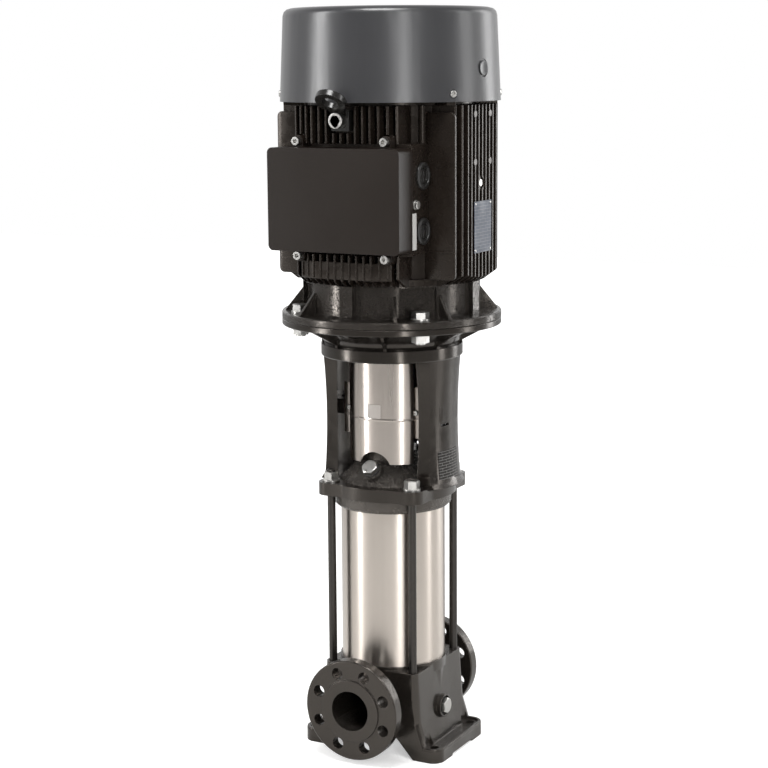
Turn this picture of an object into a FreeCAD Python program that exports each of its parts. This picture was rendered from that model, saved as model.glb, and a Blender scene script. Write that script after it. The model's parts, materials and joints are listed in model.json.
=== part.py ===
import FreeCAD, Part
import math
import os
from types import SimpleNamespace

import Sketcher
from FreeCAD import Placement, Rotation, Vector

# Vertical multistage pump. Z is the shaft axis and z = 0 is the floor under the feet. The suction pipe
# comes in from -Y, the discharge pipe leaves to +Y, and the drain plug faces +X. All sizes in mm.

SIZES = [
    # Feet and base casting
    ("foot_length", 252, "foot plate along X"),
    ("foot_width", 172, "foot plate along Y"),
    ("foot_height", 20, "top of the foot plate"),
    ("foot_corner", 20, "corner radius of the foot plate"),
    ("foot_hole_pitch_x", 215, "foot holes along X"),
    ("foot_hole_pitch_y", 130, "foot holes along Y"),
    ("foot_hole_bore", 14, "foot hole diameter"),
    ("foot_pad_gap", 72, "width of the relief between the foot pads"),
    ("foot_relief", 3.5, "depth of that relief"),
    ("tunnel_low", 160, "width under the base at the floor"),
    ("tunnel_high", 104, "width under the base at its roof"),
    ("tunnel_height", 36, "roof of the tunnel under the base"),
    ("base_top", 142, "top face of the base"),
    ("base_waist", 60, "height at which the base starts to flare to the feet"),
    ("base_corner", 10.5, "corner radius round the stay bolts at the top"),
    ("base_draft", 3.5, "draft of the upper walls in degrees"),
    ("waist_corner", 15.5, "corner radius at the waist"),
    ("flare_angle", 15.5, "slope of the flare in degrees"),
    ("collar_radius", 87.4, "rim round the sleeve"),
    ("collar_top", 147, "top of that rim"),
    ("ridge_radius", 26, "cast ridge over the drain plug"),
    ("ridge_reach", 86.7, "outermost line of that ridge"),
    ("drain_height", 68, "drain plug axis"),
    ("drain_boss_radius", 19, "boss of the drain plug"),
    ("drain_boss_face", 95, "outer face of that boss"),
    ("drain_seat", 89.5, "plug seat at the bottom of the recess"),
    ("drain_recess", 16, "radius of the recess round the plug"),
    # Pipe flanges
    ("port_height", 90, "pipe axis over the floor"),
    ("port_span", 300, "face to face"),
    ("port_bore", 65, "bore diameter at the face"),
    ("flange_radius", 81.5, "flange outside"),
    ("flange_thickness", 20, "flange without the raised face"),
    ("raised_radius", 50, "raised face"),
    ("raised_height", 3, "raised face over the flange"),
    ("port_circle", 125, "bolt circle diameter"),
    ("port_hole", 19, "bolt hole diameter"),
    ("neck_radius", 46, "pipe neck behind the flange"),
    ("neck_root", 54, "pipe neck where it meets the base"),
    # Inner rooms of the base
    ("suction_room", 58, "radius of the room under the impellers"),
    ("ring_wall", 69.3, "outside of the wall round that room"),
    ("annulus_radius", 79.5, "outside of the ring channel to the discharge"),
    ("room_floor", 52, "floor of both rooms"),
    ("ring_wall_top", 130, "seat of the inlet ring"),
    # Sleeve and stay bolts
    ("sleeve_radius", 84.2, "outer sleeve outside"),
    ("sleeve_wall", 2, "outer sleeve thickness"),
    ("sleeve_low", 136, "lower end of the sleeve"),
    ("sleeve_high", 411, "upper end of the sleeve"),
    ("seat_gap", 0.3, "room between parts that are put together"),
    ("stay_half", 73.1, "half of the stay bolt square"),
    ("stay_shank", 13, "stay bolt shank"),
    ("stay_thread", 14, "stay bolt thread"),
    ("stay_low", 104, "lower end of the stay bolts"),
    ("stay_high", 462, "upper end of the stay bolts"),
    ("washer_radius", 14.2, "stay bolt washer"),
    ("washer_thickness", 2.8, "stay bolt washer thickness"),
    ("nut_flats", 22, "stay bolt nut across flats"),
    ("nut_height", 13, "stay bolt nut height"),
    # Pump head
    ("head_low", 400.5, "underside of the pump head"),
    ("head_ring", 95, "ring under the stool foot"),
    ("stool_low", 421.5, "underside of the stool foot"),
    ("stool_foot", 442, "top of the stool foot"),
    ("head_neck", 86, "neck inside the stool foot"),
    ("cone_top_radius", 54, "top of the sloping neck"),
    ("cone_top", 474, "height of the sloping neck"),
    ("head_collar", 47, "collar under the seal carrier"),
    ("head_top", 491, "top of the pump head"),
    ("seal_room", 31, "radius of the seal room"),
    ("plug_flats", 24, "priming and drain plug across flats"),
    ("plug_head", 9.5, "height of the plug head"),
    ("plug_thread", 20.8, "plug thread"),
    ("plug_length", 13, "plug thread length"),
    ("gasket_thickness", 1.5, "plug gasket"),
    ("priming_y", 66, "priming boss root, distance before the axis"),
    ("priming_z", 461, "priming boss root height"),
    ("priming_boss", 17.5, "priming boss radius"),
    ("priming_rise", 8, "priming boss height"),
    # Hydraulic stack
    ("stage_pitch", 45, "height of one stage"),
    ("stack_low", 134, "underside of the first chamber"),
    ("chamber_radius", 64, "chamber outside"),
    ("chamber_wall", 2, "chamber sheet thickness"),
    ("eye_radius", 25, "impeller eye skirt outside"),
    ("eye_gap", 0.3, "running gap round the eye skirt"),
    ("impeller_radius", 55, "impeller outside"),
    ("impeller_width", 9, "passage between the shrouds"),
    ("shroud_wall", 2, "shroud thickness"),
    ("impeller_lift", 7, "front shroud over the stage floor"),
    ("hub_radius", 15, "impeller hub"),
    ("vane_thickness", 2, "impeller vane"),
    ("shaft_diameter", 20, "pump shaft"),
    ("shaft_low", 114, "lower end of the pump shaft"),
    ("shaft_high", 588, "upper end of the pump shaft"),
    ("bore_gap", 0.03, "clearance of bores on the shaft"),
    ("strap_width", 14, "stack strap"),
    ("strap_thickness", 2, "stack strap thickness"),
    # Shaft seal
    ("seal_carrier_radius", 40, "seal carrier"),
    ("seal_carrier_height", 10, "seal carrier over the head"),
    ("seal_ring_radius", 22, "stationary seal ring"),
    # Motor stool
    ("foot_round", 20, "corner radius of the stool foot"),
    ("foot_bow", 103, "bowed side of the stool foot"),
    ("stool_bore", 86.3, "opening of the stool foot"),
    ("pillar_outer", 110, "pillar outside"),
    ("pillar_inner", 89, "pillar ribs inside"),
    ("pillar_skin", 100.5, "pillar web inside"),
    ("pillar_half", 54, "half width of a pillar"),
    ("pillar_waist", 105.7, "pillar outside at half height"),
    ("pillar_waist_half", 50.3, "half width at half height"),
    ("waist_curve", 1200, "radius of the curve that narrows the pillar"),
    ("pillar_rib", 10, "pillar rib thickness"),
    ("slot_height", 539.5, "slot in the pillar"),
    ("band_low", 644.5, "underside of the stool band"),
    ("band_high", 663.6, "top of the stool band"),
    ("band_radius", 113.5, "stool band outside"),
    ("band_bore", 90, "stool band inside"),
    ("cone_low_radius", 108, "stool cone at the band"),
    ("cone_inset", 37, "stool cone under the disc, in from its rim"),
    ("stool_rib_thickness", 5, "ribs under the stool disc"),
    ("disc_radius", 175, "motor flange and stool disc"),
    ("stool_disc_low", 695.6, "underside of the stool disc"),
    ("seam", 705.5, "joint of stool and motor flange"),
    ("register_inset", 50, "spigot of the motor flange in from the rim"),
    ("register_depth", 5, "length of that spigot"),
    ("bolt_inset", 25, "motor bolt circle in from the rim"),
    ("flange_bolt", 16, "motor flange bolt"),
    ("flange_flats", 24, "motor flange bolt across flats"),
    ("flange_washer", 14.8, "washer under the bolt heads"),
    # Coupling and guards
    ("guard_radius", 50.5, "outside of the guard shell"),
    ("guard_centre", 30, "centre of the shell before the axis"),
    ("guard_sheet", 1.2, "guard sheet"),
    ("guard_low", 475, "lower edge of the guards"),
    ("guard_high", 650, "upper edge of the guards"),
    ("guard_cut", 21.5, "cut-out over the priming plug"),
    ("bead_height", 546.4, "pressed bead"),
    ("ear_reach", 67.5, "outer edge of the guard ears"),
    ("ear_low", 518, "lower edge of the ears"),
    ("ear_high", 600, "upper edge of the ears"),
    ("ear_screw_x", 60, "guard screws"),
    ("ear_screw_z", 557, "guard screw height"),
    ("coupling_radius", 36, "coupling halves"),
    ("coupling_low", 512, "lower end of the coupling"),
    ("coupling_high", 638, "upper end of the coupling"),
    ("coupling_split", 2, "gap between the halves"),
    ("pin_radius", 3, "pin through the coupling and the pump shaft"),
    ("pin_rise", 44, "that pin over the lower end of the coupling"),
    ("motor_stub", 42, "motor shaft end"),
    ("motor_stub_low", 596, "lower end of the motor shaft"),
    # Motor
    ("flange_top", 717, "top of the motor flange"),
    ("shield_inset", 34, "drive end shield in from the rim of the flange"),
    ("shield_wall", 15, "drive end shield wall"),
    ("shield_pocket", 20, "radius of the rooms for the flange bolts"),
    ("shield_pocket_height", 44, "height of those rooms"),
    ("shield_block", 11, "half width of the four blocks on the shield"),
    ("shield_block_reach", 149, "outer face of those blocks"),
    ("housing_low", 768, "joint of shield and housing"),
    ("housing_high", 1040, "upper end of the housing"),
    ("core_radius", 125, "stator core outside"),
    ("drum_radius", 135, "housing drum outside"),
    ("fin_radius", 168, "fin tips"),
    ("fin_flat", 160, "flat over the middle fins"),
    ("fin_pitch", 12.5, "fin pitch"),
    ("fin_thickness", 3.2, "fin thickness"),
    ("fin_low", 782, "height at which the fins are full"),
    ("fin_toe", 149, "fin tips at the lower end"),
    ("core_low", 800, "lower end of the stator core"),
    ("core_high", 980, "upper end of the stator core"),
    ("stator_bore", 75, "stator bore radius"),
    ("air_gap", 0.6, "air gap"),
    ("bearing_bore", 45, "bearing bore"),
    ("bearing_outside", 100, "bearing outside"),
    ("bearing_width", 25, "bearing width"),
    ("bearing_low_z", 712, "drive end bearing"),
    ("bearing_high_z", 1018, "fan end bearing"),
    ("ball_radius", 8.5, "bearing balls"),
    ("rotor_shaft", 58, "motor shaft in the rotor"),
    ("fan_shaft", 38, "motor shaft at the fan"),
    ("fan_shaft_high", 1112, "upper end of the motor shaft"),
    ("fan_radius", 128, "cooling fan outside"),
    ("fan_low", 1070, "underside of the fan"),
    ("fan_height", 40, "fan height"),
    ("cover_low", 1045, "lower edge of the fan cover"),
    ("cover_shoulder", 1175.3, "fan cover shoulder"),
    ("cover_top", 1187, "top of the fan cover"),
    ("cover_low_radius", 173, "fan cover at its lower edge"),
    ("cover_high_radius", 166.9, "fan cover at its shoulder"),
    ("cover_wall", 3, "fan cover wall"),
    ("cover_screw_z", 1057, "fan cover screws"),
    ("cover_screw_angle", 61, "fan cover screws from -Y in degrees"),
    # Lifting eye
    ("eye_face", 145, "pad of the lifting eye"),
    ("eye_plate", 15, "thickness of the eye plate"),
    ("eye_plate_low", 1003, "lower edge of the eye plate"),
    ("eye_plate_high", 1034, "upper edge of the eye plate"),
    ("eye_ring_clear", 14, "centre of the ring beyond the fan cover"),
    ("eye_ring_z", 1048.5, "height of the ring centre"),
    ("eye_ring_radius", 23.5, "ring outside"),
    ("eye_hole", 12.5, "ring hole radius"),
    ("eye_ring_thickness", 9, "ring thickness"),
    ("eye_screw_z", 1018.8, "lifting eye screw"),
    ("eye_screw_head", 12, "radius of its head"),
    ("eye_screw_height", 16, "height of its head"),
    # Terminal box
    ("box_half", 113, "half width of the terminal cover"),
    ("box_low", 822.5, "lower edge of the terminal cover"),
    ("box_high", 978.5, "upper edge of the terminal cover"),
    ("box_front", 187, "front of the terminal cover"),
    ("box_joint", 142, "joint of cover and box"),
    ("box_lip", 5.5, "box over the cover at top and bottom"),
    ("box_wall", 4, "terminal box wall"),
    ("corner_fin_front", 86.5, "front of the corner fins, distance before the axis"),
    ("corner_fin_reach", 149, "outer edge of the corner fins"),
    ("corner_fin_thickness", 6, "corner fin"),
    ("corner_fin_low", 820, "lower end of the corner fins"),
    ("corner_fin_high", 1030, "upper end of the corner fins"),
    ("corner_rib_radius", 6, "round ribs over the terminal box"),
    ("corner_rib_x", 103, "those ribs from the middle"),
    ("corner_rib_y", 92, "those ribs before the axis"),
    ("lug_x", 75.8, "cover screws from the middle"),
    ("lug_rise", 9, "cover screws beyond the cover"),
    ("lug_face", 158, "face of the cover lugs"),
    ("lug_radius", 9, "radius of the cover lugs"),
    ("entry_y", 107.5, "cable entries before the axis"),
    ("entry_low", 853, "lower cable entry"),
    ("entry_high", 936, "upper cable entry"),
    ("entry_radius", 19.2, "cable entry thread radius"),
    # Plates
    ("plate_low", 814, "motor plate lower edge"),
    ("plate_high", 893, "motor plate upper edge"),
    ("plate_half", 30, "motor plate half width"),
    ("earth_z", 920.6, "earth screw on the fins"),
    ("box_earth_y", 131, "earth screw on the terminal box, distance before the axis"),
    ("box_earth_z", 894, "height of that screw"),
]


class Size:
    """A sheet value, or values joined in a sum: the number and the text of its expression."""

    def __init__(self, value, text):
        self.value = float(value)
        self.text = text

    def join(self, sign, other, value, swapped=False):
        text = other.text if isinstance(other, Size) else repr(other)
        pair = (text, self.text) if swapped else (self.text, text)
        return Size(value, f"({pair[0]} {sign} {pair[1]})")

    def __add__(self, other):
        return self.join("+", other, self.value + number(other))

    def __radd__(self, other):
        return self.join("+", other, number(other) + self.value, True)

    def __sub__(self, other):
        return self.join("-", other, self.value - number(other))

    def __rsub__(self, other):
        return self.join("-", other, number(other) - self.value, True)

    def __mul__(self, other):
        return self.join("*", other, self.value * number(other))

    def __rmul__(self, other):
        return self.join("*", other, number(other) * self.value, True)

    def __truediv__(self, other):
        return self.join("/", other, self.value / number(other))

    def __neg__(self):
        return Size(-self.value, f"(0 - {self.text})")


def number(value):
    return value.value if isinstance(value, Size) else float(value)


def cosine(angle):
    if isinstance(angle, Size):
        return Size(math.cos(math.radians(angle.value)), f"cos({angle.text})")
    return math.cos(math.radians(angle))


def sine(angle):
    if isinstance(angle, Size):
        return Size(math.sin(math.radians(angle.value)), f"sin({angle.text})")
    return math.sin(math.radians(angle))


DOC = FreeCAD.newDocument("vertical_multistage_pump")
SHEET = DOC.addObject("Spreadsheet::Sheet", "Sizes")
S = SimpleNamespace()
for row, (name, value, note) in enumerate(SIZES, start=1):
    SHEET.set(f"A{row}", name)
    SHEET.set(f"B{row}", str(value))
    SHEET.set(f"C{row}", note)
    SHEET.setAlias(f"B{row}", name)
    setattr(S, name, Size(value, f"Sizes.{name}"))
DOC.recompute()

AXES = {
    "z": Rotation(),
    "-z": Rotation(Vector(1, 0, 0), 180),
    "x": Rotation(Vector(0, 1, 0), 90),
    "-x": Rotation(Vector(0, 1, 0), -90),
    "y": Rotation(Vector(1, 0, 0), -90),
    "-y": Rotation(Vector(1, 0, 0), 90),
}
NODES = []


def link(thing, prop, value):
    """Sets a property and, when the value comes from the sheet, binds it there."""
    if not prop.startswith("Placement"):
        setattr(thing, prop, number(value))
    if isinstance(value, Size):
        thing.setExpression(prop, value.text)


def place(thing, at, turn):
    rotation = AXES[turn] if isinstance(turn, str) else turn
    thing.Placement = Placement(Vector(*[number(v) for v in at]), rotation)
    for letter, value in zip("xyz", at):
        link(thing, f"Placement.Base.{letter}", value)
    return thing


def cylinder(name, radius, height, at=(0, 0, 0), turn="z"):
    thing = DOC.addObject("Part::Cylinder", name)
    link(thing, "Radius", radius)
    link(thing, "Height", height)
    return place(thing, at, turn)


def cone(name, low_radius, high_radius, height, at=(0, 0, 0), turn="z"):
    thing = DOC.addObject("Part::Cone", name)
    link(thing, "Radius1", low_radius)
    link(thing, "Radius2", high_radius)
    link(thing, "Height", height)
    return place(thing, at, turn)


def block(name, x, y, z, turn="z"):
    """A box given by its (low, high) pairs along the three axes."""
    thing = DOC.addObject("Part::Box", name)
    for prop, (low, high) in zip(("Length", "Width", "Height"), (x, y, z)):
        link(thing, prop, high - low)
    return place(thing, (x[0], y[0], z[0]), turn)


def bar(name, length, width, height, at, turn):
    """A box of given size, centred on its width and height, that runs along its own X."""
    thing = DOC.addObject("Part::Box", name)
    link(thing, "Length", length)
    link(thing, "Width", width)
    link(thing, "Height", height)
    offset = turn.multVec(Vector(0, -number(width) / 2, -number(height) / 2))
    shifted = [a + o for a, o in zip(at, offset)]
    return place(thing, shifted, turn)


def hexagon(name, flats, height, at=(0, 0, 0), turn="z"):
    thing = DOC.addObject("Part::Prism", name)
    thing.Polygon = 6
    link(thing, "Circumradius", flats / math.sqrt(3))
    link(thing, "Height", height)
    return place(thing, at, turn)


def fuse(name, things):
    joined = DOC.addObject("Part::MultiFuse", name)
    joined.Shapes = things
    joined.Refine = True
    return joined


def cut(name, base, tools):
    tool = tools[0]
    if len(tools) > 1:
        tool = DOC.addObject("Part::Compound", f"{name}_tools")
        tool.Links = tools
    result = DOC.addObject("Part::Cut", name)
    result.Base = base
    result.Tool = tool
    result.Refine = True
    return result


def common(name, things):
    result = DOC.addObject("Part::MultiCommon", name)
    result.Shapes = things
    return result


def group(name, things):
    result = DOC.addObject("Part::Compound", name)
    result.Links = things
    return result


def copy(name, thing, at=(0, 0, 0), turn="z"):
    """The same solid again in another place."""
    return place(group(name, [thing]), at, turn)


def mirror(name, thing, normal):
    result = DOC.addObject("Part::Mirroring", name)
    result.Source = thing
    result.Normal = Vector(*normal)
    return result


def ring(name, thing, count):
    """The solid and its copies round the Z axis, as one group of separate solids."""
    turned_copies = [thing]
    for index in range(1, count):
        rotation = Rotation(Vector(0, 0, 1), 360.0 * index / count)
        turned_copies.append(copy(f"{name}_{index + 1}", thing, turn=rotation))
    return group(name, turned_copies)


def quad(name, thing):
    """The solid mirrored over the YZ and XZ planes, four in all."""
    pair = group(f"{name}_pair", [thing, mirror(f"{name}_side", thing, (1, 0, 0))])
    return group(name, [pair, mirror(f"{name}_back", pair, (0, 1, 0))])


def origin_plane(body, role):
    return next(item for item in body.Origin.OriginFeatures if item.Role == role)


def sketch_on(body, role, name, lift=0, spin=0):
    """A sketch on an origin plane of the body, moved along its normal and turned about it."""
    sketch = body.newObject("Sketcher::SketchObject", name)
    sketch.AttachmentSupport = [(origin_plane(body, role), "")]
    sketch.MapMode = "FlatFace"
    sketch.AttachmentOffset = Placement(Vector(0, 0, number(lift)), Rotation(Vector(0, 0, 1), spin))
    if isinstance(lift, Size):
        sketch.setExpression("AttachmentOffset.Base.z", lift.text)
    return sketch


def polygon(sketch, points):
    """Draws a closed outline whose corners are bound to the sheet."""
    places = [Vector(number(a), number(b), 0) for a, b in points]
    count = len(points)
    for index in range(count):
        line = Part.LineSegment(places[index], places[(index + 1) % count])
        sketch.addGeometry(line, False)
    for index in range(count):
        sketch.addConstraint(Sketcher.Constraint("Coincident", index, 2, (index + 1) % count, 1))
    for index, pair in enumerate(points):
        for kind, axis, value in (("DistanceX", -2, pair[0]), ("DistanceY", -1, pair[1])):
            if number(value) == 0:
                sketch.addConstraint(Sketcher.Constraint("PointOnObject", index, 1, axis))
                continue
            mark = sketch.addConstraint(Sketcher.Constraint(kind, -1, 1, index, 1, number(value)))
            if isinstance(value, Size):
                sketch.setExpression(f"Constraints[{mark}]", value.text)


def new_body(name):
    body = DOC.addObject("PartDesign::Body", name)
    body.AllowCompound = True
    return body


def revolve(body, name, points):
    sketch = sketch_on(body, "XZ_Plane", f"{name}_profile")
    polygon(sketch, points)
    feature = body.newObject("PartDesign::Revolution", name)
    feature.Profile = sketch
    feature.ReferenceAxis = (sketch, ["V_Axis"])
    feature.Angle = 360
    return feature


def turned(name, points, at=(0, 0, 0), turn="z"):
    """A lathe part: a half profile of (radius, height) corners turned about the body's Z axis."""
    body = new_body(name)
    revolve(body, f"{name}_turn", points)
    return place(body, at, turn)


def tube(name, inner, outer, low, high, at=(0, 0), turn="z"):
    points = [(inner, low), (outer, low), (outer, high), (inner, high)]
    return turned(name, points, (at[0], at[1], 0), turn)


def pad_outline(body, name, points, low, height, role="XY_Plane"):
    sketch = sketch_on(body, role, f"{name}_outline", low)
    polygon(sketch, points)
    feature = body.newObject("PartDesign::Pad", name)
    feature.Profile = sketch
    link(feature, "Length", height)
    return feature


def polar(body, feature, count):
    """Repeats a feature of the body round its Z axis."""
    pattern = body.newObject("PartDesign::PolarPattern", f"{feature.Name}_ring")
    pattern.Originals = [feature]
    pattern.Axis = (origin_plane(body, "Z_Axis"), [""])
    pattern.Angle = 360
    pattern.Occurrences = count
    body.Tip = pattern
    return pattern


def hole_ring(body, name, circle, hole, count, phase):
    """Drills through holes on a circle round the body's Z axis."""
    sketch = sketch_on(body, "XY_Plane", f"{name}_spot", spin=phase)
    sketch.addGeometry(Part.Circle(Vector(number(circle) / 2, 0, 0), Vector(0, 0, 1), number(hole) / 2))
    sketch.addConstraint(Sketcher.Constraint("PointOnObject", 0, 3, -1))
    for kind, ids, value in (("DistanceX", (-1, 1, 0, 3), circle / 2), ("Radius", (0,), hole / 2)):
        mark = sketch.addConstraint(Sketcher.Constraint(kind, *ids, number(value)))
        sketch.setExpression(f"Constraints[{mark}]", value.text)
    pocket = body.newObject("PartDesign::Pocket", name)
    pocket.Profile = sketch
    pocket.Type = "ThroughAll"
    pocket.Midplane = True
    polar(body, pocket, count)


def rounded_pad(name, half_x, half_y, corner, low, height, taper=0, down=False, turn="z", at=(0, 0, 0)):
    """A pad of a rounded rectangle about the origin, with draft when a taper is given."""
    body = new_body(name)
    sketch = sketch_on(body, "XY_Plane", f"{name}_outline", low)
    far_x, far_y, radius = number(half_x), number(half_y), number(corner)
    near_x, near_y = far_x - radius, far_y - radius
    centres = [(near_x, near_y), (-near_x, near_y), (-near_x, -near_y), (near_x, -near_y)]
    for index, centre in enumerate(centres):
        circle = Part.Circle(Vector(*centre, 0), Vector(0, 0, 1), radius)
        start = math.radians(90 * index)
        sketch.addGeometry(Part.ArcOfCircle(circle, start, start + math.radians(90)), False)
    sides = [
        ((near_x, far_y), (-near_x, far_y)),
        ((-far_x, near_y), (-far_x, -near_y)),
        ((-near_x, -far_y), (near_x, -far_y)),
        ((far_x, -near_y), (far_x, near_y)),
    ]
    for start, end in sides:
        sketch.addGeometry(Part.LineSegment(Vector(*start, 0), Vector(*end, 0)), False)
    for index in range(4):
        sketch.addConstraint(Sketcher.Constraint("Tangent", index, 2, 4 + index, 1))
        sketch.addConstraint(Sketcher.Constraint("Tangent", 4 + index, 2, (index + 1) % 4, 1))
        sketch.addConstraint(Sketcher.Constraint(("Horizontal", "Vertical")[index % 2], 4 + index))
        if index:
            sketch.addConstraint(Sketcher.Constraint("Equal", 0, index))
    sketch.addConstraint(Sketcher.Constraint("Symmetric", 0, 3, 2, 3, -1, 1))
    bound = (
        ("Radius", (0,), corner),
        ("DistanceX", (-1, 1, 0, 3), half_x - corner),
        ("DistanceY", (-1, 1, 0, 3), half_y - corner),
    )
    for kind, ids, value in bound:
        mark = sketch.addConstraint(Sketcher.Constraint(kind, *ids, number(value)))
        if isinstance(value, Size):
            sketch.setExpression(f"Constraints[{mark}]", value.text)
    pad = body.newObject("PartDesign::Pad", f"{name}_pad")
    pad.Profile = sketch
    pad.Reversed = down
    link(pad, "Length", height)
    if number(taper):
        link(pad, "TaperAngle", taper)
    return place(body, at, turn)


def node(name, thing):
    """Names a finished sub-part; its label is the name of its file."""
    thing.Label = name
    NODES.append((name, thing))
    return thing


def port(name):
    """One pipe connection: flange with raised face, neck and bolt holes, along its own Z axis."""
    face = S.raised_height
    back = S.raised_height + S.flange_thickness
    rim = S.flange_radius
    body = new_body(name)
    points = [
        (0, 0),
        (S.raised_radius, 0),
        (S.raised_radius + 1, face),
        (rim - 1.5, face),
        (rim, face + 1.5),
        (rim, back - 1.5),
        (rim - 1.5, back),
        (S.neck_radius + 6, back),
        (S.neck_radius + 1.5, back + 2),
        (S.neck_radius, back + 7),
        (S.neck_radius, back + 16),
        (S.neck_root, back + 50),
        (0, back + 50),
    ]
    revolve(body, f"{name}_turn", points)
    hole_ring(body, f"{name}_holes", S.port_circle, S.port_hole, 8, 22.5)
    return place(body, (0, -S.port_span / 2, S.port_height), "y")


def base_casting():
    half_top = S.stay_half + S.base_corner
    half_waist = S.stay_half + S.waist_corner
    half_y = S.foot_width / 2
    upper = rounded_pad("base_upper", half_top, half_top, S.base_corner, S.base_top,
                        S.base_top - S.base_waist, S.base_draft, down=True)
    lower = rounded_pad("base_lower", half_waist, half_waist, S.waist_corner, S.base_waist,
                        S.base_waist - 6, S.flare_angle, down=True)
    trunk = fuse("base_trunk", [upper, lower])
    slab = block("base_slab", (-S.foot_length / 2, S.foot_length / 2), (-half_y, half_y), (0, S.base_top))
    trimmed = common("base_trimmed", [trunk, slab])
    foot = rounded_pad("base_foot", S.foot_length / 2, half_y, S.foot_corner, S.foot_height,
                       S.foot_height, down=True)
    drum = cylinder("base_drum", S.collar_radius - 1.5, S.base_top - S.foot_height, (0, 0, S.foot_height))
    collar = cylinder("base_collar", S.collar_radius, S.collar_top - S.base_top + 12,
                      (0, 0, S.base_top - 12))
    ridge = cylinder("base_ridge", S.ridge_radius, S.base_top - S.drain_height - 4,
                     (S.ridge_reach - S.ridge_radius, 0, S.drain_height))
    boss = cylinder("base_drain_boss", S.drain_boss_radius, S.drain_boss_face - 55,
                    (55, 0, S.drain_height), "x")
    suction = port("suction_port")
    discharge = mirror("discharge_port", port("discharge_port_seed"), (0, 1, 0))
    solid = fuse("base_outside", [trimmed, foot, drum, collar, ridge, boss, suction, discharge])
    annulus = tube("base_annulus", S.ring_wall, S.annulus_radius, S.room_floor, S.collar_top + 1)
    room = cylinder("base_room", S.suction_room, S.collar_top - S.room_floor + 1, (0, 0, S.room_floor))
    open_top = cylinder("base_open_top", S.annulus_radius, S.collar_top - S.ring_wall_top + 1,
                        (0, 0, S.ring_wall_top))
    seat = cylinder("base_seat", S.sleeve_radius + S.seat_gap, S.collar_top - S.sleeve_low + 1,
                    (0, 0, S.sleeve_low - 0.01))
    hollow = cut("base_hollow", solid, [annulus, room, open_top, seat])
    tunnel_body = new_body("base_tunnel")
    low, high = S.tunnel_low / 2, S.tunnel_high / 2
    outline = [(-low, -1), (low, -1), (high, S.tunnel_height - 6), (high - 7, S.tunnel_height),
               (-high + 7, S.tunnel_height), (-high, S.tunnel_height - 6)]
    tunnel = pad_outline(tunnel_body, "base_tunnel_pad", outline, 0, 260, "XZ_Plane")
    tunnel.Midplane = True
    duct = cylinder("base_duct", S.port_bore / 2 + 5, S.annulus_radius - S.suction_room + 6,
                    (0, -S.annulus_radius - 3, S.port_height), "y")
    inside = cylinder("base_behind_duct", S.suction_room, 90, (0, 0, S.room_floor + 0.01))
    body = fuse("base_with_duct", [hollow, cut("duct_trim", duct, [inside])])
    bore_in = cylinder("bore_in", S.port_bore / 2, S.port_span / 2 - 30, (0, -S.port_span / 2 - 1,
                                                                         S.port_height), "y")
    bore_out = cylinder("bore_out", S.port_bore / 2, S.port_span / 2 - S.ring_wall - 1,
                        (0, S.port_span / 2 + 1, S.port_height), "-y")
    tools = [tunnel_body, bore_in, bore_out]
    relief = S.foot_pad_gap / 2
    tools.append(block("foot_relief", (-200, 200), (-relief, relief), (-1, S.foot_relief)))
    for side in (-1, 1):
        for way in (-1, 1):
            tools.append(cylinder(f"foot_hole_{side + 1}{way + 1}", S.foot_hole_bore / 2,
                                  S.foot_height + 60,
                                  (side * S.foot_hole_pitch_x / 2, way * S.foot_hole_pitch_y / 2, -1)))
            tools.append(cylinder(f"foot_face_{side + 1}{way + 1}", 15, 60,
                                  (side * S.foot_hole_pitch_x / 2, way * S.foot_hole_pitch_y / 2,
                                   S.foot_height)))
            tools.append(cylinder(f"stay_hole_{side + 1}{way + 1}", S.stay_thread / 2 + 0.05,
                                  S.base_top - S.stay_low + 3,
                                  (side * S.stay_half, way * S.stay_half, S.stay_low - 2)))
    tools.append(cylinder("drain_recess", S.drain_recess, 20, (S.drain_seat, 0, S.drain_height), "x"))
    tools.append(cylinder("drain_hole", S.plug_thread / 2 + 0.05, 30, (S.drain_seat + 1, 0, S.drain_height),
                          "-x"))
    return node("base_casting", cut("base", body, tools))


def plug(name, at, turn):
    """A hexagon head plug with a bevelled head, its thread along -Z from the seat."""
    head = hexagon(f"{name}_hex", S.plug_flats, S.plug_head, (0, 0, S.gasket_thickness))
    corner = S.plug_flats / math.sqrt(3)
    dome = turned(f"{name}_dome", [
        (0, S.gasket_thickness),
        (corner + 0.2, S.gasket_thickness),
        (corner + 0.2, S.gasket_thickness + S.plug_head - 2.2),
        (corner - 3.2, S.gasket_thickness + S.plug_head),
        (0, S.gasket_thickness + S.plug_head),
    ])
    top = common(f"{name}_head", [head, dome])
    thread = cylinder(f"{name}_thread", S.plug_thread / 2, S.plug_length + S.gasket_thickness,
                      (0, 0, -S.plug_length))
    return place(fuse(f"{name}_solid", [top, thread]), at, turn)


def gasket(name, at, turn):
    inner = S.plug_thread / 2 + 0.05
    body = tube(f"{name}_ring", inner, inner + 3.2, 0, S.gasket_thickness)
    return place(body, at, turn)


TILT = Rotation(Vector(1, 0, 0), 45)


def priming_point(along):
    """A point on the priming plug axis, measured outward from the root of its boss."""
    shift = along * math.sqrt(0.5)
    return (0, -S.priming_y - shift, S.priming_z + shift)


def plugs():
    node("drain_plug", plug("drain", (S.drain_seat, 0, S.drain_height), "x"))
    node("priming_plug", plug("priming", priming_point(S.priming_rise), TILT))
    rings = [gasket("drain_gasket", (S.drain_seat, 0, S.drain_height), "x"),
             gasket("priming_gasket", priming_point(S.priming_rise), TILT)]
    node("plug_gaskets", group("gaskets", rings))


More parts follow.
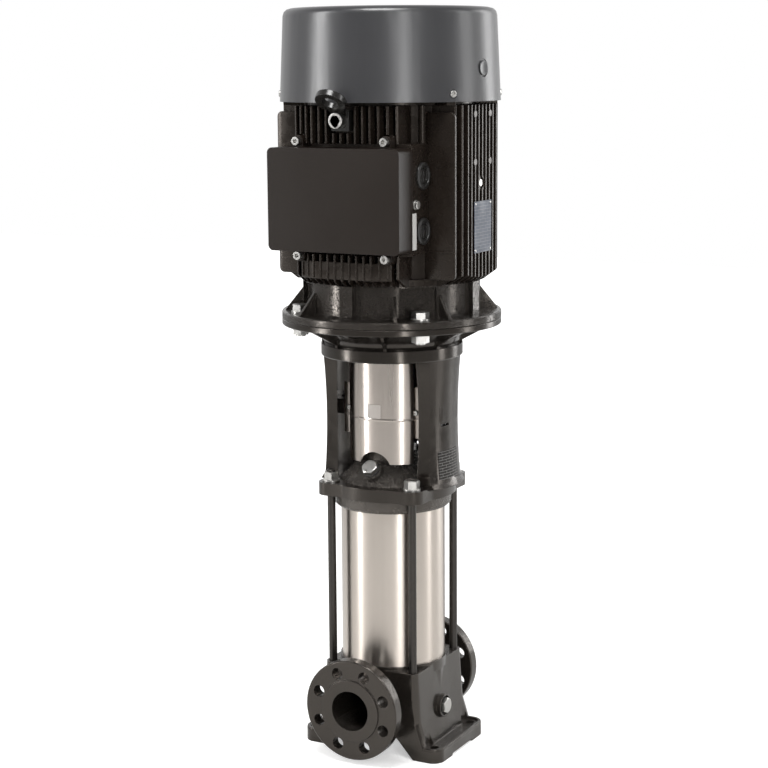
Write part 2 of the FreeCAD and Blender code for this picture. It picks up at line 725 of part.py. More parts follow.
def sleeve():
    inner = S.sleeve_radius - S.sleeve_wall
    node("outer_sleeve", tube("sleeve_tube", inner, S.sleeve_radius, S.sleeve_low, S.sleeve_high))
    seats = []
    for name, low in (("low", S.sleeve_low + 2), ("high", S.head_low + 3)):
        seats.append(tube(f"o_ring_{name}", inner - 1.9, inner, low, low + 3))
    node("sleeve_o_rings", group("o_rings", seats))


def stay_bolts():
    shank, thread = S.stay_shank / 2, S.stay_thread / 2
    top = S.stay_high
    rod = turned("stay_rod", [
        (0, S.stay_low),
        (thread, S.stay_low),
        (thread, S.base_top - 1),
        (shank, S.base_top + 1),
        (shank, S.stool_low - 3),
        (thread, S.stool_low - 2),
        (thread, top - 2),
        (thread - 2, top),
        (0, top),
    ], (S.stay_half, S.stay_half, 0))
    node("stay_bolts", ring("stay_rods", rod, 4))
    base = S.stool_foot
    washer = tube("stay_washer", thread + 0.3, S.washer_radius, base, base + S.washer_thickness,
                  (S.stay_half, S.stay_half))
    node("stay_bolt_washers", ring("stay_washers", washer, 4))
    low = base + S.washer_thickness
    blank = hexagon("stay_nut_blank", S.nut_flats, S.nut_height, (S.stay_half, S.stay_half, low))
    corner = S.nut_flats / math.sqrt(3)
    bevel = turned("stay_nut_bevel", [
        (thread + 0.05, low),
        (corner + 0.2, low),
        (corner + 0.2, low + S.nut_height - 1.8),
        (corner - 2, low + S.nut_height),
        (thread + 0.05, low + S.nut_height),
    ], (S.stay_half, S.stay_half, 0))
    node("stay_bolt_nuts", ring("stay_nuts", common("stay_nut", [blank, bevel]), 4))


def pump_head():
    groove = S.sleeve_radius + S.seat_gap
    profile = turned("head_turn", [
        (80, S.head_low + 11.5),
        (groove, S.head_low + 11.5),
        (groove, S.head_low),
        (S.head_ring - 4, S.head_low),
        (S.head_ring, S.head_low + 4),
        (S.head_ring, S.stool_low),
        (S.head_neck, S.stool_low),
        (S.head_neck, S.stool_foot),
        (S.head_neck - 2, S.stool_foot + 2),
        (S.cone_top_radius, S.cone_top),
        (S.head_collar, S.cone_top + 3),
        (S.head_collar, S.head_top),
        (S.seal_room, S.head_top),
        (S.seal_room, S.head_low + 25),
        (60, S.head_low + 17.5),
        (80, S.head_low + 17.5),
    ])
    boss = cylinder("priming_boss_solid", S.priming_boss, S.priming_rise + 16, priming_point(-16), TILT)
    keep = tube("head_boss_room", S.seal_room + 4, 130, S.head_low + 30, S.head_top + 20)
    boss_kept = common("priming_boss_kept", [boss, keep])
    body = fuse("head_solid", [profile, boss_kept])
    hole = cylinder("priming_hole", S.plug_thread / 2 + 0.05, 62, priming_point(S.priming_rise - 61), TILT)
    return node("pump_head", cut("head", body, [hole]))


def shaft_seal():
    room, top = S.seal_room - 0.1, S.head_top
    ring_out, ring_in = S.seal_ring_radius, S.shaft_diameter / 2 + 1.6
    node("seal_carrier", turned("carrier", [
        (ring_in, top + S.seal_carrier_height),
        (S.seal_carrier_radius, top + S.seal_carrier_height),
        (S.seal_carrier_radius, top),
        (room, top),
        (room, top - 14),
        (ring_out + 0.02, top - 14),
        (ring_out + 0.02, top - 4),
        (ring_in, top - 4),
    ]))
    node("seal_seat", turned("seat_ring", [
        (ring_in, top - 4.02),
        (ring_out, top - 4.02),
        (ring_out, top - 13),
        (ring_out - 4, top - 15),
        (ring_in, top - 15),
    ]))
    bore = S.shaft_diameter / 2 + S.bore_gap
    node("seal_head", turned("rotating_seal", [
        (bore, top - 15.3),
        (ring_out - 4, top - 15.3),
        (ring_out - 4, top - 19),
        (ring_out, top - 21),
        (ring_out, top - 42),
        (bore + 4, top - 46),
        (bore, top - 46),
    ]))


def chamber():
    """A stage chamber: cup with floor and eye, guide vanes and return plate."""
    wall, low = S.chamber_wall, S.stack_low
    outside = S.chamber_radius
    high = low + S.stage_pitch
    cup = turned("chamber_cup", [
        (S.eye_radius + S.eye_gap, low),
        (outside, low),
        (outside, high),
        (outside - wall, high),
        (outside - wall, low + wall),
        (S.eye_radius + S.eye_gap, low + wall),
    ])
    plate_low = low + S.impeller_lift + S.impeller_width + 2 * S.shroud_wall + 6
    plate = turned("chamber_plate", [
        (S.hub_radius + 1, plate_low),
        (S.impeller_radius + 1, plate_low),
        (S.impeller_radius + 1, plate_low + 2),
        (S.hub_radius + 1, plate_low + 2),
    ])
    vanes = []
    for index in range(6):
        turn = Rotation(Vector(0, 0, 1), 60 * index + 12)
        vane = DOC.addObject("Part::Box", f"guide_vane_{index}")
        link(vane, "Length", outside - wall - 24 + 0.5)
        link(vane, "Width", 2)
        link(vane, "Height", high - plate_low - 2 - 1)
        start = turn.multVec(Vector(24, 6, 0))
        place(vane, (start.x, start.y, plate_low + 1), turn)
        vanes.append(vane)
    trimmed = common("guide_vanes", [group("guide_vane_group", vanes),
                                     cylinder("vane_limit", outside - 0.5, 600, (0, 0, 0))])
    return fuse("chamber_seed", [cup, plate, trimmed])


def vane_outline(start, end, sweep, half):
    """Corners of a backward-curved blade: both flanks at seven stations along its sweep."""
    stations = 7
    flanks = ([], [])
    for step in range(stations):
        share = step / (stations - 1)
        radius = start + (end - start) * share
        angle = math.radians(-sweep * share)
        lean = angle - math.radians(58 - 14 * share)
        for side, flank in zip((-1, 1), flanks):
            flank.append((radius * math.cos(angle) - side * half * math.sin(lean),
                          radius * math.sin(angle) + side * half * math.cos(lean)))
    return flanks[0] + flanks[1][::-1]


def impeller():
    """A closed impeller: two shrouds, hub and eye skirt turned, then six vanes as a polar pattern."""
    low = S.stack_low + S.impeller_lift
    wall, eye = S.shroud_wall, S.eye_radius
    high = low + wall + S.impeller_width
    bore = S.shaft_diameter / 2 + S.bore_gap
    body = new_body("impeller")
    revolve(body, "impeller_back", [
        (bore, low - 2),
        (S.hub_radius, low - 2),
        (S.hub_radius, high - 3),
        (S.hub_radius + 3, high),
        (S.impeller_radius, high),
        (S.impeller_radius, high + wall),
        (S.hub_radius, high + wall),
        (S.hub_radius, high + wall + 6),
        (bore, high + wall + 6),
    ])
    vane = pad_outline(body, "impeller_vane",
                       vane_outline(S.eye_radius - 1, S.impeller_radius - 0.6, 62, S.vane_thickness / 2),
                       low + wall / 2, S.impeller_width + wall)
    polar(body, vane, 6)
    revolve(body, "impeller_front", [
        (eye - wall, S.stack_low + 0.3),
        (eye, S.stack_low + 0.3),
        (eye, low - 1),
        (eye + 1, low),
        (S.impeller_radius, low),
        (S.impeller_radius, low + wall),
        (eye, low + wall),
        (eye - wall, low + wall - 2),
    ])
    return body


def hydraulics():
    count = 6
    seeds = (("chamber", chamber()), ("impeller", impeller()))
    for kind, seed in seeds:
        for index in range(count):
            name = f"{kind}_{index + 1}"
            part = seed if index == 0 else copy(name, seed, (0, 0, index * S.stage_pitch))
            node(name, part)
    low = S.ring_wall_top
    node("inlet_ring", turned("inlet", [
        (S.eye_radius + 1, S.stack_low - 2.02),
        (S.eye_radius + 1, S.stack_low - 0.02),
        (S.ring_wall - 0.3, S.stack_low - 0.02),
        (S.ring_wall - 0.3, low + 0.02),
        (S.suction_room - 1, low + 0.02),
        (S.suction_room - 3, S.stack_low - 2.02),
    ]))
    length = 6 * S.stage_pitch
    top = S.stack_low + length
    inner = S.chamber_radius + 0.3
    profile = [
        (inner, S.stack_low),
        (inner + S.strap_thickness, S.stack_low),
        (inner + S.strap_thickness, top + 2.3),
        (inner - 8, top + 2.3),
        (inner - 8, top + 0.3),
        (inner, top + 0.3),
    ]
    body = new_body("strap")
    pad = pad_outline(body, "strap_pad", profile, 0, S.strap_width, "XZ_Plane")
    pad.Midplane = True
    node("stack_straps", ring("straps", body, 4))
    radius = S.shaft_diameter / 2
    rod = turned("pump_shaft_turn", [
        (0, S.shaft_low),
        (radius - 1, S.shaft_low),
        (radius, S.shaft_low + 1),
        (radius, S.shaft_high - 1),
        (radius - 1, S.shaft_high),
        (0, S.shaft_high),
    ])
    hole = cylinder("pump_shaft_pin_hole", S.pin_radius + 0.02, 30, (-15, 0, S.coupling_low + S.pin_rise), "x")
    node("pump_shaft", cut("pump_shaft_drilled", rod, [hole]))


def pillar_middle():
    return (S.stool_foot + S.band_low) / 2


def waist_tool(name, over):
    """A wide ring whose inner face is the waisted outside of the pillars, moved out by the given amount."""
    tool = DOC.addObject("Part::Torus", name)
    link(tool, "Radius1", S.pillar_waist + S.waist_curve + over)
    link(tool, "Radius2", S.waist_curve)
    return place(tool, (0, 0, pillar_middle()), "z")


def pillar():
    """One pillar of the stool at +X: waisted web with a rib on each edge and the guard bridge."""
    low, high = S.stool_foot - 4, S.band_low + 4
    outer, web = S.pillar_outer, S.pillar_skin
    half = S.pillar_half
    shell = tube("pillar_web", web, outer, low, high)
    ribs = tube("pillar_ribs", S.pillar_inner, outer - 1, low, high)
    strip = block("pillar_strip", (0, 200), (-half, half), (low, high))
    middle = block("pillar_middle", (0, 200), (-half + S.pillar_rib, half - S.pillar_rib), (0, 900))
    edges = cut("pillar_edges", common("pillar_rib_strip", [ribs, strip]), [middle])
    bridge = block("pillar_bridge", (54, web + 3), (-S.guard_centre - 1.3, S.guard_centre + 1.3),
                   (S.ear_screw_z - 12, S.ear_screw_z + 12))
    eased = cylinder("pillar_bridge_hollow", 15, 40, (78, 0, S.ear_screw_z - 20))
    upright = fuse("pillar_upright", [common("pillar_web_strip", [shell, strip]), edges])
    sides = []
    for way in (-1, 1):
        sides.append(cylinder(f"pillar_narrow_{way + 1}", S.waist_curve, 90,
                              (60, way * (S.pillar_waist_half + S.waist_curve), pillar_middle()), "x"))
    narrowed = cut("pillar_narrowed", upright, [waist_tool("pillar_waist_tool", 0)] + sides)
    solid = fuse("pillar_solid", [narrowed, cut("pillar_bridge_cut", bridge, [eased])])
    slot = block("pillar_slot", (90, 120), (-28, -8), (S.slot_height - 2, S.slot_height + 2))
    flare = cone("pillar_flare", outer + 6, outer - 1, 11, (0, 0, S.stool_foot - 2))
    toe = common("pillar_toe", [cut("pillar_toe_ring", flare, [cylinder("toe_core", web, 40,
                                                                        (0, 0, S.stool_foot - 6))]), strip])
    return cut("pillar", fuse("pillar_toed", [solid, toe]), [slot])


def motor_stool():
    half = S.stay_half + S.foot_round
    thick = S.stool_foot - S.stool_low
    foot = rounded_pad("stool_foot_pad", half, half, S.foot_round, S.stool_low, thick)
    bow = cylinder("stool_bow", S.foot_bow, thick, (0, 0, S.stool_low))
    right = pillar()
    left = mirror("pillar_left", right, (1, 0, 0))
    flare_high = S.stool_disc_low
    register = S.disc_radius - S.register_inset + 0.2
    crown = turned("stool_crown", [
        (S.band_bore, S.band_low),
        (S.band_radius - 1.5, S.band_low),
        (S.band_radius, S.band_low + 1.5),
        (S.band_radius, S.band_high),
        (S.cone_low_radius, S.band_high + 1),
        (S.cone_low_radius + 6, flare_high - 18),
        (S.disc_radius - S.cone_inset, flare_high),
        (S.disc_radius - 1, flare_high),
        (S.disc_radius, flare_high + 1),
        (S.disc_radius, S.seam - 1),
        (S.disc_radius - 1, S.seam),
        (register, S.seam),
        (register, S.seam - S.register_depth - 1),
        (S.band_bore + 6, S.seam - S.register_depth - 1),
        (S.band_bore, S.band_high + 10),
    ])
    rib_body = new_body("stool_rib")
    rib = pad_outline(rib_body, "stool_rib_pad", [
        (S.band_bore + 8, S.band_high - 4),
        (S.band_radius - 0.5, S.band_high - 4),
        (S.band_radius - 0.5, S.band_high + 4),
        (S.disc_radius - 17, flare_high - 4),
        (S.disc_radius - 17, flare_high + 3),
        (S.band_bore + 8, flare_high + 3),
    ], 0, S.stool_rib_thickness, "XZ_Plane")
    rib.Midplane = True
    place(rib_body, (0, 0, 0), Rotation(Vector(0, 0, 1), 22.5))
    body = fuse("stool_solid", [foot, bow, right, left, crown, ring("stool_ribs", rib_body, 8)])
    tools = [cylinder("stool_opening", S.stool_bore, thick + 30, (0, 0, S.stool_low - 5))]
    hole = cylinder("stool_stay_hole", S.stay_thread / 2 + 0.8, thick + 20,
                    (S.stay_half, S.stay_half, S.stool_low - 5))
    tools.append(ring("stool_stay_holes", hole, 4))
    face = cylinder("stool_nut_face", S.washer_radius + 1.5, 60, (S.stay_half, S.stay_half, S.stool_foot))
    tools.append(ring("stool_nut_faces", face, 4))
    tools.append(flange_holes("stool_flange"))
    for side in (-1, 1):
        for way in (-1, 1):
            name = f"stool_ear_hole_{side + 1}{way + 1}"
            at = (side * S.ear_screw_x, way * (S.guard_centre + 1.4), S.ear_screw_z)
            tools.append(cylinder(name, 2.55, 12, at, "y" if way < 0 else "-y"))
    return node("motor_stool", cut("stool", body, tools))


def flange_holes(name):
    """The four bolt holes through the motor flange and the stool disc, with room for the nuts."""
    reach = (S.disc_radius - S.bolt_inset) * math.sqrt(0.5)
    hole = cylinder(f"{name}_hole", S.flange_bolt / 2 + 0.8, 60, (reach, reach, S.seam - 30))
    under = cylinder(f"{name}_under", 15.5, 40, (reach, reach, S.stool_disc_low - 40))
    return ring(name, group(f"{name}_pair", [hole, under]), 4)


def guard(name):
    """The front coupling guard: a half shell with a bead, a cut-out and two ears."""
    centre, outer = S.guard_centre, S.guard_radius
    inner = outer - S.guard_sheet
    shell = tube(f"{name}_shell", inner, outer, S.guard_low, S.guard_high)
    bead = turned(f"{name}_bead", [
        (inner + 0.3, S.bead_height - 2.2),
        (outer, S.bead_height - 2.2),
        (outer + 1.3, S.bead_height),
        (outer, S.bead_height + 2.2),
        (inner + 0.3, S.bead_height + 2.2),
    ])
    drum = copy(f"{name}_drum", fuse(f"{name}_beaded", [shell, bead]), (0, -centre, 0))
    front = block(f"{name}_front", (-200, 200), (-200, -centre), (0, 900))
    half = common(f"{name}_half", [drum, front])
    notch = cylinder(f"{name}_notch", S.guard_cut, 40, (0, -centre - 30, S.guard_low), "-y")
    cut_half = cut(f"{name}_cut", half, [notch])
    ears = []
    tall = S.ear_high - S.ear_low
    for side in (-1, 1):
        centre_x = side * (S.ear_reach + inner) / 2
        ear = rounded_pad(f"{name}_ear_{side + 1}", (S.ear_reach - inner) / 2, tall / 2, 5, 0,
                          S.guard_sheet, at=(centre_x, -centre - 1.5, (S.ear_high + S.ear_low) / 2),
                          turn="-y")
        web = block(f"{name}_web_{side + 1}",
                    (min_side(side, outer, inner)), (-centre - 1.5 - S.guard_sheet, -centre),
                    (S.ear_low + 5, S.ear_high - 5))
        hole = cylinder(f"{name}_ear_hole_{side + 1}", 2.8, 20,
                        (side * S.ear_screw_x, -centre + 5, S.ear_screw_z), "-y")
        ears.append(cut(f"{name}_ear_cut_{side + 1}", fuse(f"{name}_ear_all_{side + 1}", [ear, web]), [hole]))
    return fuse(name, [cut_half] + ears)


def min_side(side, outer, inner):
    """The sheet thickness of the shell edge on one side, as a (low, high) pair."""
    return (inner, outer) if side > 0 else (-outer, -inner)


def guards():
    front = node("guard_front", guard("guard"))
    node("guard_rear", mirror("guard_back", front, (0, 1, 0)))
    face = S.guard_centre + 1.5 + S.guard_sheet
    screw = turned("guard_screw", [
        (0, -10),
        (2.5, -10),
        (2.5, 0),
        (4.6, 0),
        (4.6, 2),
        (3.4, 3.4),
        (1.4, 3.4),
        (1.4, 1.6),
        (0, 1.6),
    ], (S.ear_screw_x, -face, S.ear_screw_z), "-y")
    node("guard_screws", quad("guard_screw_set", screw))


def coupling_half(name, side):
    """One clamp half of the coupling on the side of the given sign of Y."""
    split = S.coupling_split / 2
    low, high = S.coupling_low, S.coupling_high
    step = S.motor_stub_low - 4
    drum = turned(f"{name}_drum", [
        (S.shaft_diameter / 2 + S.bore_gap, low),
        (S.coupling_radius - 3, low),
        (S.coupling_radius, low + 3),
        (S.coupling_radius, high - 3),
        (S.coupling_radius - 3, high),
        (S.motor_stub / 2 + S.bore_gap, high),
        (S.motor_stub / 2 + S.bore_gap, step),
        (S.shaft_diameter / 2 + S.bore_gap, step),
    ])
    away = block(f"{name}_away", (-60, 60), (-60, split) if side > 0 else (-split, 60), (400, 800))
    tools = [away]
    for sign in (-1, 1):
        for level, height in ((0, low + 22), (1, high - 22)):
            spot = f"{name}_{sign + 1}{level}"
            x = sign * 27.5
            tools.append(cylinder(f"{spot}_hole", 4.3, 90, (x, -45, height), "y"))
            tools.append(cylinder(f"{spot}_sink", 7.2, 40, (x, side * 12, height), "y" if side > 0 else "-y"))
    tools.append(cylinder(f"{name}_pin_bore", S.pin_radius + 0.05, 40, (-20, 0, low + S.pin_rise), "x"))
    return cut(name, drum, tools)


def coupling():
    node("coupling_half_front", coupling_half("coupling_a", -1))
    node("coupling_half_rear", coupling_half("coupling_b", 1))
    low, high = S.coupling_low + 22, S.coupling_high - 22
    screws = []
    for sign in (-1, 1):
        for level, height in ((0, low), (1, high)):
            screws.append(turned(f"coupling_screw_{sign + 1}{level}", [
                (0, -20),
                (4, -20),
                (4, 12),
                (6.5, 12),
                (6.5, 20),
                (3.5, 20),
                (3.5, 16),
                (0, 16),
            ], (sign * 27.5, 0, height), "-y"))
    node("coupling_screws", group("coupling_screw_set", screws))
    pin = cylinder("coupling_pin_solid", S.pin_radius, 38, (-19, 0, S.coupling_low + S.pin_rise), "x")
    node("coupling_pin", pin)


def drive_end_shield():
    """The flanged end shield: flange, spigot, drum and bearing hub turned, gussets and bolt pockets."""
    outer = S.disc_radius - S.shield_inset
    inner = outer - S.shield_wall
    register = S.disc_radius - S.register_inset
    seat = S.bearing_outside / 2 + 0.02
    hub_low = S.bearing_low_z
    body = turned("shield_turn", [
        (26, S.seam - S.register_depth),
        (register, S.seam - S.register_depth),
        (register, S.seam),
        (S.disc_radius - 1, S.seam),
        (S.disc_radius, S.seam + 1),
        (S.disc_radius, S.flange_top - 1.5),
        (S.disc_radius - 1.5, S.flange_top),
        (outer + 3, S.flange_top),
        (outer, S.flange_top + 3),
        (outer, S.housing_low),
        (inner, S.housing_low),
        (inner, S.flange_top + 6),
        (seat + 14, S.flange_top + 2),
        (seat + 10, S.bearing_low_z + S.bearing_width + 4),
        (seat, S.bearing_low_z + S.bearing_width + 4),
        (seat, hub_low),
        (26, hub_low),
    ])
    gussets = []
    for index, angle in enumerate((30, 60, 120, 150, 210, 240, 300, 330)):
        rib_body = new_body(f"gusset_{index}")
        rib = pad_outline(rib_body, f"gusset_pad_{index}", [
            (outer - 4, S.flange_top - 3),
            (S.disc_radius - 6, S.flange_top - 3),
            (S.disc_radius - 6, S.flange_top + 1),
            (outer, S.flange_top + 36),
            (outer - 4, S.flange_top + 36),
        ], 0, 5, "XZ_Plane")
        rib.Midplane = True
        gussets.append(place(rib_body, (0, 0, 0), Rotation(Vector(0, 0, 1), angle)))
    block_seed = block("shield_block", (outer - 5, S.shield_block_reach), (-S.shield_block, S.shield_block),
                       (S.flange_top - 1, S.housing_low))
    solid = fuse("shield_solid", [body, ring("shield_blocks", block_seed, 4)] + gussets)
    reach = (S.disc_radius - S.bolt_inset) * math.sqrt(0.5)
    pocket = cylinder("shield_pocket", S.shield_pocket, S.shield_pocket_height, (reach, reach, S.flange_top))
    tools = [ring("shield_pockets", pocket, 4), flange_holes("shield_flange")]
    node("drive_end_shield", cut("shield", solid, tools))
    flange_fasteners(reach)


def flange_fasteners(reach):
    bolt = S.flange_bolt / 2
    low, top = S.stool_disc_low - 16, S.flange_top
    shank = turned("flange_bolt_shank", [
        (0, low),
        (bolt - 1, low),
        (bolt, low + 1),
        (bolt, top),
        (S.flange_washer, top),
        (S.flange_washer, top + 3),
        (bolt, top + 3),
        (bolt, top + 4),
        (0, top + 4),
    ], (reach, reach, 0))
    head = hexagon("flange_bolt_hex", S.flange_flats, 10, (reach, reach, top + 2.9))
    node("flange_bolts", ring("flange_bolt_set", fuse("flange_bolt_solid", [shank, head]), 4))
    nut = hexagon("flange_nut_hex", S.flange_flats, 13, (reach, reach, S.stool_disc_low - 13))
    bore = cylinder("flange_nut_bore", bolt + 0.05, 20, (reach, reach, S.stool_disc_low - 16))
    node("flange_nuts", ring("flange_nut_set", cut("flange_nut", nut, [bore]), 4))


def fin_sector(name, last):
    """Parallel fins of one side, pointing to +X, trimmed to the envelope of the housing."""
    fins = []
    for index in range(-last, last + 1):
        middle = index * S.fin_pitch
        half = S.fin_thickness / 2
        fins.append(block(f"{name}_{index + last}", (S.core_radius * 0.6, S.fin_radius),
                          (middle - half, middle + half), (S.housing_low, S.housing_high)))
    body = cylinder(f"{name}_body", S.fin_radius, S.housing_high - S.fin_low, (0, 0, S.fin_low))
    toe = cone(f"{name}_toe", S.fin_toe, S.fin_radius, S.fin_low - S.housing_low, (0, 0, S.housing_low))
    limit = block(f"{name}_limit", (S.core_radius * 0.6, S.fin_flat), (-110, 110), (0, 1200))
    envelope = common(f"{name}_envelope", [fuse(f"{name}_shape", [body, toe]), limit])
    return common(name, [group(f"{name}_fins", fins), envelope])


def turned_copy(name, thing, angle):
    return copy(name, thing, turn=Rotation(Vector(0, 0, 1), angle))


def terminal_base():
    """The lower half of the terminal box, cast on the housing towards -Y."""
    low, high = S.box_low - S.box_lip, S.box_high + S.box_lip
    half = S.box_half - 2
    walls = rounded_pad("box_walls", half, (high - low) / 2, 6, 0, 62,
                        at=(0, -S.box_joint, (high + low) / 2), turn="y")
    lugs = []
    for side in (-1, 1):
        for way, height in ((0, S.box_low - S.lug_rise), (1, S.box_high + S.lug_rise)):
            lugs.append(cylinder(f"box_lug_{side + 1}{way}", S.lug_radius, 40,
                                 (side * S.lug_x, -S.box_joint, height), "y"))
    return [walls] + lugs + housing_corner()


def housing_corner():
    """What joins the terminal box to the fins: a thick corner fin and a round rib on each side."""
    half = S.box_half - 2
    high, reach = S.corner_fin_high, S.corner_fin_reach
    fin_body = new_body("corner_fin")
    fin = pad_outline(fin_body, "corner_fin_pad", [
        (half - 6, S.corner_fin_low),
        (reach - 5, S.corner_fin_low),
        (reach, S.corner_fin_low + 5),
        (reach, high - 22),
        (reach - 2, high - 12),
        (reach - 7, high - 4),
        (reach - 14, high),
        (half - 6, high),
    ], S.corner_fin_front - S.corner_fin_thickness, S.corner_fin_thickness, "XZ_Plane")
    rib = cylinder("corner_rib", S.corner_rib_radius, S.housing_high - S.box_high,
                   (S.corner_rib_x, -S.corner_rib_y, S.box_high))
    right = [fin_body, rib]
    return right + [mirror(f"{thing.Name}_left", thing, (1, 0, 0)) for thing in right]


def stator_housing():
    height = S.housing_high - S.housing_low
    low = S.housing_low
    drum = cylinder("housing_drum", S.drum_radius, height, (0, 0, low))
    toe_rim = cylinder("housing_rim", S.disc_radius - S.shield_inset, 10, (0, 0, low))
    side = fin_sector("fins_side", 6)
    front = turned_copy("fins_front", fin_sector("fins_end", 7), -90)
    sectors = [side, front, turned_copy("fins_left", side, 180), turned_copy("fins_back", front, 180)]
    pad = block("eye_pad", (-16, 16), (-S.eye_face, -S.drum_radius + 8), (S.eye_plate_low - 3,
                                                                          S.housing_high))
    bosses = [cylinder("earth_boss", 12.5, S.fin_flat - 132, (130, 0, S.earth_z), "x")]
    for way in (-1, 1):
        for level, height_at in ((0, 953.4), (1, 1026)):
            bosses.append(cylinder(f"side_boss_{way + 1}{level}", 5.5, 28, (132.5, way * 26.2, height_at), "x"))
    clear = [
        block("eye_clear", (-17, 17), (-200, -S.eye_face), (S.eye_plate_low - 3, S.housing_high + 1)),
        block("box_clear", (-S.box_half + 2, S.box_half - 2), (-200, -S.box_joint),
              (S.box_low - S.box_lip, S.box_high + S.box_lip)),
    ]
    for side_way in (-1, 1):
        for level, height_at in ((0, S.box_low - S.lug_rise), (1, S.box_high + S.lug_rise)):
            clear.append(cylinder(f"lug_clear_{side_way + 1}{level}", S.lug_radius + 1.5, 40,
                                  (side_way * S.lug_x, -S.box_joint, height_at), "-y"))
    finned = cut("housing_finned", fuse("housing_fins", [drum, toe_rim] + sectors), clear)
    solid = fuse("housing_solid", [finned, pad] + bosses + terminal_base())
    tools = [cylinder("housing_bore", S.core_radius + 0.02, height + 2, (0, 0, low - 1))]
    wall = S.box_wall + 5
    cavity = block("box_cavity", (-S.box_half + 2 + wall, S.box_half - 2 - wall), (-S.box_joint - 1, -84),
                   (S.box_low + wall, S.box_high - wall))
    floor = cylinder("box_floor", S.drum_radius, 300, (0, 0, 750))
    pad_block = block("block_pad", (-42, 42), (-139, -120), (866, 934))
    tools.append(cut("box_cavity_cut", cavity, [floor, pad_block]))
    for level, height_at in ((0, S.entry_low), (1, S.entry_high)):
        tools.append(cylinder(f"entry_hole_{level}", S.entry_radius + 0.1, 14,
                              (S.box_half - 2 - 12, -S.entry_y, height_at), "x"))
    tools.append(cylinder("eye_screw_hole", 8.1, 18, (0, -S.eye_face - 1, S.eye_screw_z), "y"))
    tools.append(cylinder("earth_recess", 8.5, 10, (S.fin_flat - 9, 0, S.earth_z), "x"))
    tools.append(cylinder("earth_hole", 4.05, 16, (S.fin_flat - 22, 0, S.earth_z), "x"))
    tools.append(cylinder("box_earth_hole", 4.05, 10, (S.box_half - 10, -S.box_earth_y, S.box_earth_z), "x"))
    for side_way in (-1, 1):
        for level, height_at in ((0, S.box_low - S.lug_rise), (1, S.box_high + S.lug_rise)):
            tools.append(cylinder(f"lug_thread_{side_way + 1}{level}", 3.05, 15,
                                  (side_way * S.lug_x, -S.box_joint - 1, height_at), "y"))
    node("stator_housing", cut("housing", solid, tools))


def terminal_box():
    low, high, half = S.box_low, S.box_high, S.box_half
    middle, tall = (high + low) / 2, (high - low) / 2
    joint, front = S.box_joint + 0.3, S.box_front
    shell = rounded_pad("lid_shell", half, tall, 8, 0, front - joint, at=(0, -joint, middle), turn="-y")
    room = rounded_pad("lid_room", half - S.box_wall, tall - S.box_wall, 5, -1,
                       front - joint - S.box_wall + 1, at=(0, -joint, middle), turn="-y")
    lugs, holes, screws = [], [], []
    for side in (-1, 1):
        for way, height in ((-1, low - S.lug_rise), (1, high + S.lug_rise)):
            spot = f"{side + 1}{way + 1}"
            x = side * S.lug_x
            lugs.append(cylinder(f"lid_lug_{spot}", S.lug_radius, S.lug_face - joint, (x, -joint, height), "-y"))
            near, far = (height, low + 3) if way < 0 else (high - 3, height)
            lugs.append(block(f"lid_web_{spot}", (x - S.lug_radius, x + S.lug_radius),
                              (-S.lug_face, -joint), (near, far)))
            holes.append(cylinder(f"lid_hole_{spot}", 3.3, 60, (x, -joint + 20, height), "-y"))
            screws.append(turned(f"lid_screw_{spot}", [
                (0, -26),
                (3, -26),
                (3, 0),
                (6.5, 0),
                (6.5, 8),
                (3, 8),
                (3, 3.5),
                (0, 3.5),
            ], (x, -S.lug_face, height), "-y"))
    body = cut("lid_hollow", shell, [room])
    node("terminal_cover", cut("lid", fuse("lid_solid", [body] + lugs), holes))
    node("terminal_cover_screws", group("lid_screw_set", screws))
    entries = []
    for level, height in ((0, S.entry_low), (1, S.entry_high)):
        entries.append(turned(f"entry_plug_{level}", [
            (0, -8),
            (S.entry_radius, -8),
            (S.entry_radius, 0),
            (S.entry_radius + 1.3, 0),
            (S.entry_radius + 1.3, 3),
            (S.entry_radius - 0.5, 4.5),
            (S.entry_radius - 4, 4.5),
            (S.entry_radius - 4.5, 2.2),
            (0, 2.2),
        ], (half - 2, -S.entry_y, height), "x"))
    node("cable_plugs", group("entry_plug_set", entries))
    base = block("block_base", (-40, 40), (-158, -139.02), (870, 930))
    studs = []
    for column in (-1, 0, 1):
        for row in (-1, 1):
            studs.append(cylinder(f"block_stud_{column + 1}{row + 1}", 3, 16,
                                  (column * 26, -157.5, 900 + row * 14), "-y"))
    node("terminal_block", fuse("block", [base] + studs))


